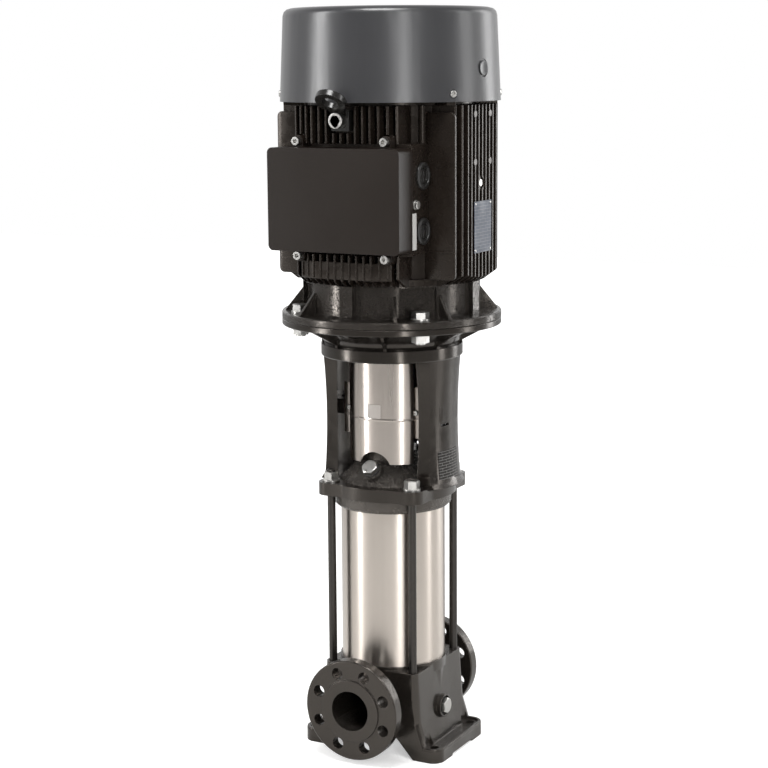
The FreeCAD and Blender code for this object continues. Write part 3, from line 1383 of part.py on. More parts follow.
def motor_inside():
    """Stator core with slots, windings, rotor, shaft and bearings."""
    low, high = S.core_low, S.core_high
    slots = 24
    core = new_body("core")
    revolve(core, "core_turn", [
        (S.stator_bore, low),
        (S.core_radius, low),
        (S.core_radius, high),
        (S.stator_bore, high),
    ])
    sketch = sketch_on(core, "XY_Plane", "slot_outline")
    polygon(sketch, [(S.stator_bore + 4, -3), (S.stator_bore + 26, -5), (S.stator_bore + 26, 5),
                     (S.stator_bore + 4, 3)])
    pocket = core.newObject("PartDesign::Pocket", "slot")
    pocket.Profile = sketch
    pocket.Type = "ThroughAll"
    pocket.Midplane = True
    polar(core, pocket, slots)
    node("stator_core", core)
    coil = new_body("winding")
    for name, base, up in (("lower", low - 28, 1), ("upper", high + 0.3, 1)):
        revolve(coil, f"winding_{name}", [
            (S.stator_bore + 4, base),
            (S.core_radius - 14, base),
            (S.core_radius - 10, base + 6),
            (S.core_radius - 14, base + 27.7),
            (S.stator_bore + 4, base + 27.7),
        ])
    leg = pad_outline(coil, "winding_leg", [
        (S.stator_bore + 4.4, -2.6),
        (S.stator_bore + 25.5, -4.5),
        (S.stator_bore + 25.5, 4.5),
        (S.stator_bore + 4.4, 2.6),
    ], low - 1, high - low + 2)
    polar(coil, leg, slots)
    node("stator_windings", coil)
    shaft = S.rotor_shaft / 2
    node("rotor_core", turned("rotor", [
        (shaft + 0.02, low),
        (S.stator_bore - S.air_gap, low),
        (S.stator_bore - S.air_gap, high),
        (S.stator_bore - 6, high),
        (S.stator_bore - 6, high + 12),
        (S.stator_bore - 22, high + 12),
        (S.stator_bore - 22, high),
        (shaft + 0.02, high),
    ]))
    journal, stub, tail = S.bearing_bore / 2, S.motor_stub / 2, S.fan_shaft / 2
    lower, upper = S.bearing_low_z, S.bearing_high_z
    wide = S.bearing_width
    node("motor_shaft", turned("motor_shaft_turn", [
        (0, S.motor_stub_low),
        (stub - 1, S.motor_stub_low),
        (stub, S.motor_stub_low + 1),
        (stub, lower - 6),
        (journal, lower - 6),
        (journal, lower + wide + 0.02),
        (shaft, lower + wide + 0.02),
        (shaft, upper),
        (journal, upper),
        (journal, upper + wide + 2),
        (tail, upper + wide + 2),
        (tail, S.fan_shaft_high - 1),
        (tail - 1, S.fan_shaft_high),
        (0, S.fan_shaft_high),
    ]))
    bearings(lower, upper, wide)


def bearings(lower, upper, wide):
    inner, outer = S.bearing_bore / 2, S.bearing_outside / 2
    pitch = (inner + outer) / 2
    middle = wide / 2
    groove = S.ball_radius * 0.45
    wall = S.ball_radius * 0.62
    shoulder = S.ball_radius * 0.8
    races = {
        "bearing_outer_rings": [
            (pitch + wall, 0), (outer, 0), (outer, wide), (pitch + wall, wide),
            (pitch + wall, middle + shoulder), (pitch + S.ball_radius + 0.05, middle + groove),
            (pitch + S.ball_radius + 0.05, middle - groove), (pitch + wall, middle - shoulder),
        ],
        "bearing_inner_rings": [
            (inner + 0.01, 0), (pitch - wall, 0), (pitch - wall, middle - shoulder),
            (pitch - S.ball_radius - 0.05, middle - groove), (pitch - S.ball_radius - 0.05, middle + groove),
            (pitch - wall, middle + shoulder), (pitch - wall, wide), (inner + 0.01, wide),
        ],
    }
    for name, points in races.items():
        pair = []
        for spot, height in (("low", lower), ("high", upper)):
            pair.append(turned(f"{name}_{spot}", points, (0, 0, height + 0.01)))
        node(name, group(name + "_pair", pair))
    balls = []
    for spot, height in (("low", lower), ("high", upper)):
        ball = DOC.addObject("Part::Sphere", f"ball_{spot}")
        link(ball, "Radius", S.ball_radius)
        place(ball, (pitch, 0, height + middle), "z")
        cage = turned(f"cage_{spot}", [
            (pitch - 2, middle - 2.5), (pitch + 2, middle - 2.5), (pitch + 2, middle + 2.5),
            (pitch - 2, middle + 2.5)], (0, 0, height))
        balls.append(fuse(f"balls_{spot}", [cage] + [
            turned_copy(f"ball_{spot}_{index}", ball, 45 * index) for index in range(8)]))
    node("bearing_balls", group("ball_sets", balls))


def fan_end():
    """Fan end shield with four lugs for the cover, the fan and the fan cover with its grille."""
    low = S.housing_high
    seat = S.bearing_outside / 2 + 0.02
    bearing = S.bearing_high_z
    body = turned("fan_shield_turn", [
        (24, low + 12),
        (S.drum_radius, low + 12),
        (S.drum_radius, low),
        (S.core_radius - 0.1, low),
        (S.core_radius - 0.1, low - 6),
        (seat + 12, low - 6),
        (seat + 10, bearing - 1),
        (seat, bearing - 1),
        (seat, bearing + S.bearing_width + 0.3),
        (24, bearing + S.bearing_width + 0.3),
    ])
    angle = 90 - S.cover_screw_angle
    reach = S.cover_low_radius - S.cover_wall - 2.5
    lugs = []
    for index, turn_angle in enumerate((-29, 29, 151, 209)):
        lug = block(f"shield_lug_{index}", (S.core_radius * 0.9, reach), (-8, 8),
                    (low, S.cover_screw_z + 9))
        lugs.append(turned_copy(f"shield_lug_turned_{index}", lug, turn_angle))
    thread = cylinder("cover_thread", 3.05, 24, (reach * cosine(angle) * 0.9, -reach * sine(angle) * 0.9,
                                                 S.cover_screw_z), toward(-29))
    node("fan_end_shield", cut("fan_shield", fuse("fan_shield_solid", [body] + lugs),
                               [quad("cover_threads", thread)]))
    face = S.cover_low_radius - 1.6
    screw = turned("cover_screw", [
        (0, -14),
        (3, -14),
        (3, 0),
        (5.2, 0),
        (5.2, 2.4),
        (4, 3.2),
        (1.8, 3.2),
        (1.8, 1.2),
        (0, 1.2),
    ], (face * cosine(angle), -face * sine(angle), S.cover_screw_z), toward(-29))
    node("fan_cover_screws", quad("cover_screw_set", screw))
    cooling_fan()
    fan_cover(angle)


def toward(angle):
    """The rotation that lays a Z axis level, pointing at an angle from +X."""
    return Rotation(Vector(0, 0, 1), angle).multiply(AXES["x"])


def cooling_fan():
    low = S.fan_low
    bore = S.fan_shaft / 2 + S.bore_gap
    body = new_body("fan")
    revolve(body, "fan_turn", [
        (bore, low),
        (S.fan_radius - 8, low + 6),
        (S.fan_radius - 8, low + 9),
        (bore + 14, low + 5),
        (bore + 8, low + S.fan_height - 6),
        (bore, low + S.fan_height - 6),
    ])
    blade = pad_outline(body, "fan_blade", [
        (bore + 5, -1.5),
        (S.fan_radius - 14, -1.5),
        (S.fan_radius, 8),
        (S.fan_radius - 2, 11),
        (S.fan_radius - 16, 1.5),
        (bore + 5, 1.5),
    ], low + 4, S.fan_height - 4)
    polar(body, blade, 9)
    node("cooling_fan", body)


def fan_cover(angle):
    wall, high = S.cover_wall, S.cover_high_radius
    top, shoulder = S.cover_top, S.cover_shoulder
    shell = turned("cover_shell", [
        (0, top),
        (high - 12, top),
        (high - 6, top - 1.6),
        (high - 1.7, top - 5.8),
        (high, shoulder),
        (S.cover_low_radius, S.cover_low),
        (S.cover_low_radius - wall, S.cover_low),
        (high - wall, shoulder),
        (high - 12, top - wall),
        (0, top - wall),
    ])
    slots = []
    for index in range(8):
        inner = 34 + 12.5 * index
        slots.append(tube(f"grille_{index}", inner, inner + 8.5, top - 8, top + 5))
    spokes = []
    for index in range(6):
        spoke = DOC.addObject("Part::Box", f"spoke_{index}")
        link(spoke, "Length", 2 * high)
        link(spoke, "Width", 5)
        link(spoke, "Height", 30)
        turn = Rotation(Vector(0, 0, 1), 30 * index)
        start = turn.multVec(Vector(-1, 0, 0))
        side = turn.multVec(Vector(0, -2.5, 0))
        place(spoke, (high * start.x + side.x, high * start.y + side.y, top - 15), turn)
        spokes.append(spoke)
    grille = cut("grille_open", group("grille_rings", slots), spokes)
    face = S.cover_low_radius - 1.6
    recess = cylinder("cover_recess", 7, 12, (face * cosine(angle), -face * sine(angle), S.cover_screw_z),
                      toward(-29))
    hole = cylinder("cover_hole", 3.3, 20, ((face - 10) * cosine(angle), -(face - 10) * sine(angle),
                                            S.cover_screw_z), toward(-29))
    mark = cylinder("cover_mark", 13.5, 20, (168.2, -18.5, 1094.8), toward(-6.3))
    tools = [grille, quad("cover_recesses", recess), quad("cover_holes", hole), mark]
    node("fan_cover", cut("cover", shell, tools))


def lifting_eye():
    face, back = S.eye_face + S.eye_plate, S.eye_face
    plate = block("eye_plate_solid", (-15, 15), (-face, -back), (S.eye_plate_low, S.eye_plate_high))
    lean = Rotation(Vector(1, 0, 0), -35)
    up = lean.multVec(Vector(0, 0, 1))
    half = S.eye_ring_thickness / 2
    centre = (0, -S.cover_low_radius - S.eye_ring_clear, S.eye_ring_z)
    low = (0, centre[1] - half * up.y, centre[2] - half * up.z)
    disc = cylinder("eye_ring_solid", S.eye_ring_radius, S.eye_ring_thickness, low, lean)
    along = lean.multVec(Vector(0, 1, 0))
    arm = DOC.addObject("Part::Box", "eye_arm")
    link(arm, "Length", 24)
    link(arm, "Width", 32)
    link(arm, "Height", S.eye_ring_thickness)
    start = lean.multVec(Vector(-12, 16, 0))
    place(arm, (start.x, low[1] + start.y, low[2] + start.z), lean)
    limit = block("eye_limit", (-30, 30), (-260, -back), (980, 1100))
    head = common("eye_head", [fuse("eye_head_all", [disc, arm]), limit])
    hole = cylinder("eye_hole_solid", S.eye_hole, 60, (0, centre[1] - 30 * up.y, centre[2] - 30 * up.z), lean)
    screw_hole = cylinder("eye_plate_hole", 8.6, 60, (0, -back + 5, S.eye_screw_z), "-y")
    scallop = cylinder("eye_scallop", S.eye_screw_head + 0.5, 60, (0, -face, S.eye_screw_z), "-y")
    node("lifting_eye", cut("eye", fuse("eye_solid", [plate, head]), [hole, screw_hole, scallop]))
    socket = hexagon("eye_socket", 14, 8, (0, 8 - face - S.eye_screw_height, S.eye_screw_z), "-y")
    body = turned("eye_screw_turn", [
        (0, -24),
        (8, -24),
        (8, 0),
        (S.eye_screw_head, 0),
        (S.eye_screw_head, S.eye_screw_height - 1),
        (S.eye_screw_head - 1, S.eye_screw_height),
        (0, S.eye_screw_height),
    ], (0, -face, S.eye_screw_z), "-y")
    node("lifting_eye_screw", cut("eye_screw", body, [socket]))


def plates():
    flat = S.fin_flat
    node("motor_nameplate", block("motor_plate", (flat, flat + 0.8), (-S.plate_half, S.plate_half),
                                  (S.plate_low, S.plate_high)))
    skin = cut("pump_plate_skin", waist_tool("pump_plate_inside", S.seat_gap),
               [waist_tool("pump_plate_outside", S.seat_gap + 0.5)])
    window = block("pump_plate_window", (80, 130), (-36, 18), (453, 498))
    node("pump_nameplate", common("pump_plate", [skin, window]))
    screws = []
    for name, at in (("fin", (flat - 9, 0, S.earth_z)), ("box", (S.box_half - 2, -S.box_earth_y, S.box_earth_z))):
        screws.append(turned(f"earth_screw_{name}", [
            (0, -7),
            (4, -7),
            (4, 0),
            (7.8, 0),
            (7.8, 1.4),
            (6.4, 1.4),
            (6.4, 5),
            (5.4, 6),
            (0, 6),
        ], at, "x"))
    node("earth_screws", group("earth_screw_set", screws))


def write_parts():
    """Recomputes the document, checks every object and writes one STEP file for each sub-part."""
    DOC.recompute()
    for thing in DOC.Objects:
        if any(word in thing.State for word in ("Invalid", "Error")):
            raise RuntimeError(f"{thing.Name} is {thing.State}")
    os.makedirs("parts", exist_ok=True)
    for old in os.listdir("parts"):
        os.remove(os.path.join("parts", old))
    for name, thing in NODES:
        shape = thing.Shape
        if shape.isNull() or not shape.isValid() or not shape.Solids:
            raise RuntimeError(f"{name} has no valid solid")
        shape.exportStep(os.path.join("parts", f"{name}.step"))
        print(name, len(shape.Solids), round(shape.Volume / 1000, 1))


base_casting()
plugs()
sleeve()
stay_bolts()
pump_head()
shaft_seal()
hydraulics()
motor_stool()
guards()
coupling()
drive_end_shield()
stator_housing()
terminal_box()
motor_inside()
fan_end()
lifting_eye()
plates()
write_parts()
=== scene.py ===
"""Looks of the vertical multistage pump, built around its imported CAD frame.

Blender's own lengths are metres, and the sub-assemblies hold their sizes in millimetres. Z is the shaft axis
and z = 0 is the floor under the feet. The suction flange faces -Y and the drain plug faces +X.
"""
import json
import logging
import math
from dataclasses import dataclass, field
from enum import Enum
from typing import Iterable, Protocol, Sequence

import bmesh
import bpy
from mathutils import Matrix, Vector

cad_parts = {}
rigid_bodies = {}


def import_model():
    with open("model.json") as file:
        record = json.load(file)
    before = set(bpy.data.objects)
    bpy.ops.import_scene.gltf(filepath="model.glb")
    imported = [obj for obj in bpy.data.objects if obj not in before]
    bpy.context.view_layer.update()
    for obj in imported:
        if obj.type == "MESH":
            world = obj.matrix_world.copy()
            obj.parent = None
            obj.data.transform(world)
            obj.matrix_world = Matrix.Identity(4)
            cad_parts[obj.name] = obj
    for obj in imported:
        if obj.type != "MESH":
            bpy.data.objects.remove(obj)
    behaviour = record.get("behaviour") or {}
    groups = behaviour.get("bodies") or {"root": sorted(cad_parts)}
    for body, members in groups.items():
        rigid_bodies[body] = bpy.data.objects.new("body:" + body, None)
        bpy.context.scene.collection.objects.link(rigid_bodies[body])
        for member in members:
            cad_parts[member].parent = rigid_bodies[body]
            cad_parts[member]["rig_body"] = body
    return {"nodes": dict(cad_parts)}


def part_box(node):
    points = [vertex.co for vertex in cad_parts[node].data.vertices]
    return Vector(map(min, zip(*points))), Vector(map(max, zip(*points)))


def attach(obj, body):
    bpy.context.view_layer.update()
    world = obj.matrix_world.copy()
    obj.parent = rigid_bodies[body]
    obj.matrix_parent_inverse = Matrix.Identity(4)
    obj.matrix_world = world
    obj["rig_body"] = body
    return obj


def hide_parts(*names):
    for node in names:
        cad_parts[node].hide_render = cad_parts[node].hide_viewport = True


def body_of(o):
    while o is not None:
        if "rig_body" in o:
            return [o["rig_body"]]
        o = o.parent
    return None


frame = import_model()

LOG = logging.getLogger("pump")
MM = 0.001
MERGE = 0.02 * MM  # points nearer than this are one
SHARP = 40.0  # degrees between two faces from which the edge between them counts as sharp
BODY_FIXED = "pump"
Colour = tuple[float, float, float]
Point = tuple[float, float, float]
Span = tuple[float, float]
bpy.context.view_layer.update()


class Axis(Enum):
    """Directions that an edge may run along."""

    UP = (0.0, 0.0, 1.0)
    RIGHT = (1.0, 0.0, 0.0)
    BACK = (0.0, 1.0, 0.0)


class Growth(Enum):
    """The side on which an open wall gets its thickness."""

    OUTWARD = 1.0
    INWARD = -1.0


class Finish(Protocol):
    """What every finish of the pump offers."""

    @property
    def name(self) -> str:
        """The name of its material."""

    def material(self) -> bpy.types.Material:
        """Builds its material."""


def shaded(colour: Colour, share: float, lift: float = 0.0) -> Colour:
    """Returns a colour made darker or lighter by a share, and lifted by an amount."""
    return tuple(min(1.0, part * share + lift) for part in colour)


class Nodes:
    """Adds shader nodes to a material or to the world and links them, with few words."""

    def __init__(self, owner: bpy.types.Material | bpy.types.World) -> None:
        """Turns on the owner's nodes and finds its main shader.

        Args:
            owner: A new material, or a new world.
        """
        owner.use_nodes = True
        self.owner = owner
        self.tree = owner.node_tree
        main_node = "Principled BSDF" if isinstance(owner, bpy.types.Material) else "Background"
        self.shader = self.tree.nodes[main_node]

    def add(self, kind: str, **inputs: object) -> bpy.types.Node:
        """Adds a node.

        Args:
            kind: Node type without its ShaderNode prefix.
            **inputs: Node settings, or socket values and links, with _ for a space in a socket's name.

        Returns:
            The new node.
        """
        node = self.tree.nodes.new(f"ShaderNode{kind}")
        for name, value in inputs.items():
            self.set(node, name, value)
        return node

    def set(self, node: bpy.types.Node, name: str, value: object) -> None:
        """Sets one setting, socket value or link of a node.

        Args:
            node: The node to change.
            name: A setting's name, or a socket's name with _ for a space.
            value: A value, or the output socket to link from.
        """
        socket = node.inputs.get(name.replace("_", " "))
        if socket is None:
            setattr(node, name, value)
        elif isinstance(value, bpy.types.NodeSocket):
            self.tree.links.new(value, socket)
        else:
            socket.default_value = value

    def place(self, scale: Sequence[float]) -> bpy.types.NodeSocket:
        """Returns the object's own coordinates, stretched by a scale on each axis."""
        where = self.add("TexCoord").outputs["Object"]
        return self.add("Mapping", Vector=where, Scale=scale).outputs["Vector"]

    def noise(self, lumps: float, detail: float = 3.0, upright: float | None = None) -> bpy.types.NodeSocket:
        """Makes soft noise between 0 and 1.

        Args:
            lumps: Number of its lumps in a metre.
            detail: How many finer layers it has.
            upright: Number of lumps in a metre along Z, where that differs.

        Returns:
            The noise.
        """
        scale = (lumps, lumps, lumps if upright is None else upright)
        return self.add("TexNoise", Vector=self.place(scale), Scale=1.0, Detail=detail).outputs["Fac"]

    def spread(self, source: bpy.types.NodeSocket, low: float, high: float,
               start: float = 0.3, end: float = 0.7) -> bpy.types.NodeSocket:
        """Returns a value that runs from low to high as the source goes from start to end."""
        node = self.add("MapRange", Value=source, From_Min=start, From_Max=end, To_Min=low, To_Max=high)
        return node.outputs["Result"]

    def times(self, first: bpy.types.NodeSocket, second: bpy.types.NodeSocket) -> bpy.types.NodeSocket:
        """Multiplies two values.

        Args:
            first: One value.
            second: The other.

        Returns:
            Their product.
        """
        node = self.add("Math", operation="MULTIPLY")
        self.tree.links.new(first, node.inputs[0])
        self.tree.links.new(second, node.inputs[1])
        return node.outputs[0]

    def tint(self, source: bpy.types.NodeSocket, dark: Colour, light: Colour) -> None:
        """Lets the base colour drift between two colours.

        Args:
            source: The noise that it follows.
            dark: Its colour where the noise is low.
            light: Its colour where the noise is high.
        """
        node = self.add("Mix", data_type="RGBA", Factor=self.spread(source, 0, 1))
        first, second = (socket for socket in node.inputs if socket.type == "RGBA")
        first.default_value = (*dark, 1.0)
        second.default_value = (*light, 1.0)
        result = next(socket for socket in node.outputs if socket.type == "RGBA")
        self.set(self.shader, "Base_Color", result)

    def dull(self, source: bpy.types.NodeSocket, roughness: float, below: float, above: float) -> None:
        """Lets the roughness drift round its usual value, from so much below it to so much above."""
        self.set(self.shader, "Roughness", self.spread(source, roughness - below, roughness + above))

    def upward(self, low: float, high: float) -> bpy.types.NodeSocket:
        """Makes a value that follows how far a face looks up.

        Args:
            low: Its value on walls.
            high: Its value on level faces.

        Returns:
            The value.
        """
        normal = self.add("NewGeometry").outputs["Normal"]
        part = self.add("SeparateXYZ", Vector=normal).outputs["Z"]
        return self.spread(part, low, high, start=0.25, end=0.75)

    def worn_edge(self, radius: float) -> bpy.types.NodeSocket:
        """Makes a normal that rounds every edge, as paint does.

        Args:
            radius: Radius of the rounding in metres.

        Returns:
            The normal.
        """
        node = self.add("Bevel", Radius=radius)
        node.samples = 4
        return node.outputs["Normal"]

    def bump(self, height: bpy.types.NodeSocket, depth: float, strength: float = 1.0,
             under: bpy.types.NodeSocket | None = None) -> bpy.types.NodeSocket:
        """Makes a normal disturbed by a height.

        Args:
            height: Value between 0 and 1.
            depth: Depth of the relief in metres.
            strength: Share of the relief that shows.
            under: The normal that this one lies on.

        Returns:
            The disturbed normal.
        """
        node = self.add("Bump", Height=height, Distance=depth, Strength=strength)
        if under is not None:
            self.tree.links.new(under, node.inputs["Normal"])
        return node.outputs["Normal"]


@dataclass(frozen=True)
class PaintedCasting:
    """Glossy paint over sand-cast iron or die-cast aluminium, coarser on faces that look up.

    The sand, the swell and the edge are depths and a radius in metres.
    """

    name: str
    colour: Colour
    roughness: float
    sand: float
    gloss: float
    walls: float = 0.12
    edge: float = 0.0016
    sparse: float = 0.48
    swell: float = 0.0
    # Warm tint on the paint's reflections: painted reflection colour standing in for warm surroundings, while
    # the lamps and the world are white.
    reflection_warmth: Colour = (1.0, 0.90, 0.81)

    def material(self) -> bpy.types.Material:
        """Builds the paint with its cast skin, its long soft swells and its sand grains."""
        n = Nodes(bpy.data.materials.new(self.name))
        skin = n.noise(lumps=60)
        grain = n.noise(lumps=620, detail=2)
        n.tint(n.noise(lumps=9, detail=4), self.colour, shaded(self.colour, 1.6, lift=0.001))
        n.dull(skin, self.roughness, below=0.05, above=0.10)
        swell = n.noise(lumps=16, detail=0, upright=4)
        rounded = n.bump(swell, self.swell, under=n.worn_edge(self.edge))
        waves = n.bump(skin, depth=0.0003, strength=0.35, under=rounded)
        grains = n.spread(grain, 0, 1, start=self.sparse, end=self.sparse + 0.3)
        height = n.times(grains, n.upward(self.walls, 1.0))
        n.set(n.shader, "Normal", n.bump(height, self.sand, under=waves))
        n.set(n.shader, "Specular_IOR_Level", self.gloss)
        n.set(n.shader, "Specular_Tint", (*self.reflection_warmth, 1.0))
        return n.owner


@dataclass(frozen=True)
class SmoothPaint:
    """Sprayed paint on sheet or on a smooth moulding. Its peel and its edge are in metres."""

    name: str
    colour: Colour
    roughness: float
    gloss: float = 0.5
    peel: float = 0.00002
    edge: float = 0.0012

    def material(self) -> bpy.types.Material:
        """Builds the paint with a faint orange peel."""
        n = Nodes(bpy.data.materials.new(self.name))
        cloud = n.noise(lumps=5)
        peel = n.noise(lumps=260, detail=2)
        n.tint(cloud, self.colour, shaded(self.colour, 1.12))
        n.dull(cloud, self.roughness, below=0.03, above=0.04)
        n.set(n.shader, "Normal", n.bump(peel, self.peel, strength=0.5, under=n.worn_edge(self.edge)))
        n.set(n.shader, "Specular_IOR_Level", self.gloss)
        return n.owner


@dataclass(frozen=True)
class BrushedSteel:
    """Stainless sheet, polished round the Z axis, which draws its highlights out upwards."""

    name: str
    colour: Colour
    roughness: float
    stretch: float = 0.85
    turn: float = 0.25

    def material(self) -> bpy.types.Material:
        """Builds the steel with soft upright clouds in its gloss."""
        n = Nodes(bpy.data.materials.new(self.name))
        streaks = n.noise(lumps=55, upright=1.2)
        n.tint(streaks, shaded(self.colour, 0.90), self.colour)
        n.dull(streaks, self.roughness, below=0.02, above=0.03)
        n.set(n.shader, "Metallic", 1.0)
        n.set(n.shader, "Normal", n.bump(streaks, depth=0.00012, strength=0.35))
        n.set(n.shader, "Tangent", n.add("Tangent", direction_type="RADIAL", axis="Z").outputs["Tangent"])
        n.set(n.shader, "Anisotropic", self.stretch)
        n.set(n.shader, "Anisotropic_Rotation", self.turn)
        return n.owner


@dataclass(frozen=True)
class BareMetal:
    """Turned, plated or blackened metal on fasteners and shafts. Its marks have a depth in metres."""

    name: str
    colour: Colour
    roughness: float
    marks: float = 0.00002

    def material(self) -> bpy.types.Material:
        """Builds the metal with small marks in its gloss."""
        n = Nodes(bpy.data.materials.new(self.name))
        marks = n.noise(lumps=180)
        n.tint(marks, shaded(self.colour, 0.86), self.colour)
        n.dull(marks, self.roughness, below=0.05, above=0.08)
        n.set(n.shader, "Metallic", 1.0)
        n.set(n.shader, "Normal", n.bump(marks, self.marks, strength=0.4))
        return n.owner


@dataclass(frozen=True)
class Moulded:
    """Moulded plastic, rubber or insulation."""

    name: str
    colour: Colour
    roughness: float

    def material(self) -> bpy.types.Material:
        """Builds the moulded surface with an even fine texture."""
        n = Nodes(bpy.data.materials.new(self.name))
        grain = n.noise(lumps=1100, detail=2)
        n.tint(grain, self.colour, shaded(self.colour, 1.25))
        n.dull(grain, self.roughness, below=0.05, above=0.06)
        n.set(n.shader, "Normal", n.bump(grain, depth=0.00005, strength=0.4))
        return n.owner


@dataclass(frozen=True)
class PrintedForm:
    """Dark film with the pale empty rows of a form, and nothing written in them.

    The row's height, the width of its fields and the width of a line are in metres.
    """

    name: str
    film: Colour
    lines: Colour
    row: float
    field_width: float
    line: float = 0.0004
    gloss: float = 0.15
    roughness: float = 0.35

    def material(self) -> bpy.types.Material:
        """Builds the film; its rows run level round the part."""
        n = Nodes(bpy.data.materials.new(self.name))
        part = n.add("SeparateXYZ", Vector=n.add("TexCoord").outputs["Object"])
        flat = n.add("CombineXYZ", X=part.outputs["Y"], Y=part.outputs["Z"])
        form = n.add("TexBrick", Vector=flat.outputs["Vector"], Scale=1.0, Mortar_Size=self.line,
                     Mortar_Smooth=0.2, Brick_Width=self.field_width, Row_Height=self.row,
                     Color1=(*self.film, 1.0), Color2=(*shaded(self.film, 1.25), 1.0),
                     Mortar=(*self.lines, 1.0))
        n.set(n.shader, "Base_Color", form.outputs["Color"])
        n.dull(n.noise(lumps=40), self.roughness, below=0.07, above=0.07)
        n.set(n.shader, "Specular_IOR_Level", self.gloss)
        return n.owner


def select_only(piece: bpy.types.Object) -> None:
    """Makes a piece the active object and the only selected one.

    Args:
        piece: The piece.
    """
    bpy.ops.object.select_all(action="DESELECT")
    bpy.context.view_layer.objects.active = piece
    piece.select_set(True)


def finish_piece(name: str) -> bpy.types.Object:
    """Names the active object and puts its place into its mesh.

    Args:
        name: Its name.

    Returns:
        The active object.
    """
    piece = bpy.context.object
    piece.name = name
    bpy.ops.object.transform_apply(location=True, rotation=True, scale=True)
    return piece


def block(name: str, middle: Sequence[float], size: Sequence[float]) -> bpy.types.Object:
    """Adds a rectangular block, which becomes the active object.

    Args:
        name: Its name.
        middle: Its middle in millimetres.
        size: Its length along each axis in millimetres.

    Returns:
        The block.
    """
    bpy.ops.object.select_all(action="DESELECT")
    bpy.ops.mesh.primitive_cube_add(size=1, location=Vector(middle) * MM, scale=Vector(size) * MM)
    return finish_piece(name)


def round_wall(name: str, radius: float, levels: Span, facets: int, behind: float = 0.0) -> bpy.types.Object:
    """Adds an open upright round wall with no thickness, which becomes the active object.

    Args:
        name: Its name.
        radius: Its radius in millimetres.
        levels: Its lowest and highest level in millimetres.
        facets: Number of its flat sides.
        behind: How far its middle lies behind the shaft axis, in millimetres.

    Returns:
        The wall.
    """
    low, high = levels
    bpy.ops.object.select_all(action="DESELECT")
    bpy.ops.mesh.primitive_cylinder_add(vertices=facets, radius=radius * MM, depth=(high - low) * MM,
                                        end_fill_type="NOTHING",
                                        location=(0, behind * MM, (low + high) / 2 * MM))
    return finish_piece(name)


def copy_of(piece: bpy.types.Object, name: str, move: Matrix) -> bpy.types.Object:
    """Copies a piece with its own mesh.

    Args:
        piece: The piece to copy.
        name: The copy's name.
        move: Where the copy goes from the place of the piece.

    Returns:
        The copy.
    """
    twin = piece.copy()
    twin.data = piece.data.copy()
    twin.data.transform(move)
    twin.name = name
    bpy.context.scene.collection.objects.link(twin)
    return twin


def runs_along(mesh: bpy.types.Mesh, edge: bpy.types.MeshEdge, axis: Axis) -> bool:
    """Says whether an edge is parallel to an axis."""
    start, end = (mesh.vertices[index].co for index in edge.vertices)
    return abs((end - start).normalized().dot(Vector(axis.value))) > 0.99


def divide(place: Sequence[float], across: Sequence[float], drop: bool = False) -> None:
    """In edit mode, cuts the whole active mesh along a plane and leaves the cut selected.

    Args:
        place: A point of the plane in metres.
        across: The direction that the plane faces.
        drop: Whether what lies beyond the plane is taken away.
    """
    bpy.ops.mesh.select_all(action="SELECT")
    bpy.ops.mesh.bisect(plane_co=place, plane_no=across, clear_outer=drop)


def round_edges(piece: bpy.types.Object, edges: Iterable[bpy.types.MeshEdge], width: float,
                segments: int) -> None:
    """Rounds chosen edges of a piece.

    Args:
        piece: The piece, which is the active object.
        edges: Its edges to round.
        width: Width of the rounding in millimetres.
        segments: Number of steps across it.
    """
    chosen = [edge.index for edge in edges]
    bpy.ops.object.mode_set(mode="EDIT")
    bpy.ops.mesh.select_mode(type="EDGE")
    bpy.ops.mesh.select_all(action="DESELECT")
    bpy.ops.object.mode_set(mode="OBJECT")
    for index in chosen:
        piece.data.edges[index].select = True
    bpy.ops.object.mode_set(mode="EDIT")
    bpy.ops.mesh.bevel(offset=width * MM, segments=segments, affect="EDGES")
    bpy.ops.object.mode_set(mode="OBJECT")


def ease_edges(piece: bpy.types.Object, width: float, sharp: float = SHARP) -> None:
    """Eases the sharp edges of a piece and smooths its rounds.

    Args:
        piece: The piece, which is the active object.
        width: Width of the eased edges in millimetres.
        sharp: Angle in degrees from which an edge counts as sharp.
    """
    ease = piece.modifiers.new("ease", "BEVEL")
    ease.width = width * MM
    ease.segments = 2
    ease.limit_method = "ANGLE"
    ease.angle_limit = math.radians(sharp)
    bpy.ops.object.modifier_apply(modifier="ease")
    bpy.ops.object.shade_smooth_by_angle(angle=math.radians(sharp))


def thicken(piece: bpy.types.Object, thickness: float, side: Growth) -> None:
    """Gives an open wall its thickness.

    Args:
        piece: The wall, which is the active object.
        thickness: Its thickness in millimetres.
        side: The side on which it grows.
    """
    wall = piece.modifiers.new("wall", "SOLIDIFY")
    wall.thickness = thickness * MM
    wall.offset = side.value
    bpy.ops.object.modifier_apply(modifier="wall")


def subtract(piece: bpy.types.Object, tool: bpy.types.Object) -> None:
    """Cuts a tool out of a piece and deletes the tool.

    Args:
        piece: The piece, which becomes the active object.
        tool: A closed solid.
    """
    select_only(piece)
    opening = piece.modifiers.new("opening", "BOOLEAN")
    opening.object = tool
    opening.operation = "DIFFERENCE"
    opening.solver = "EXACT"
    bpy.ops.object.modifier_apply(modifier="opening")
    bpy.data.objects.remove(tool, do_unlink=True)


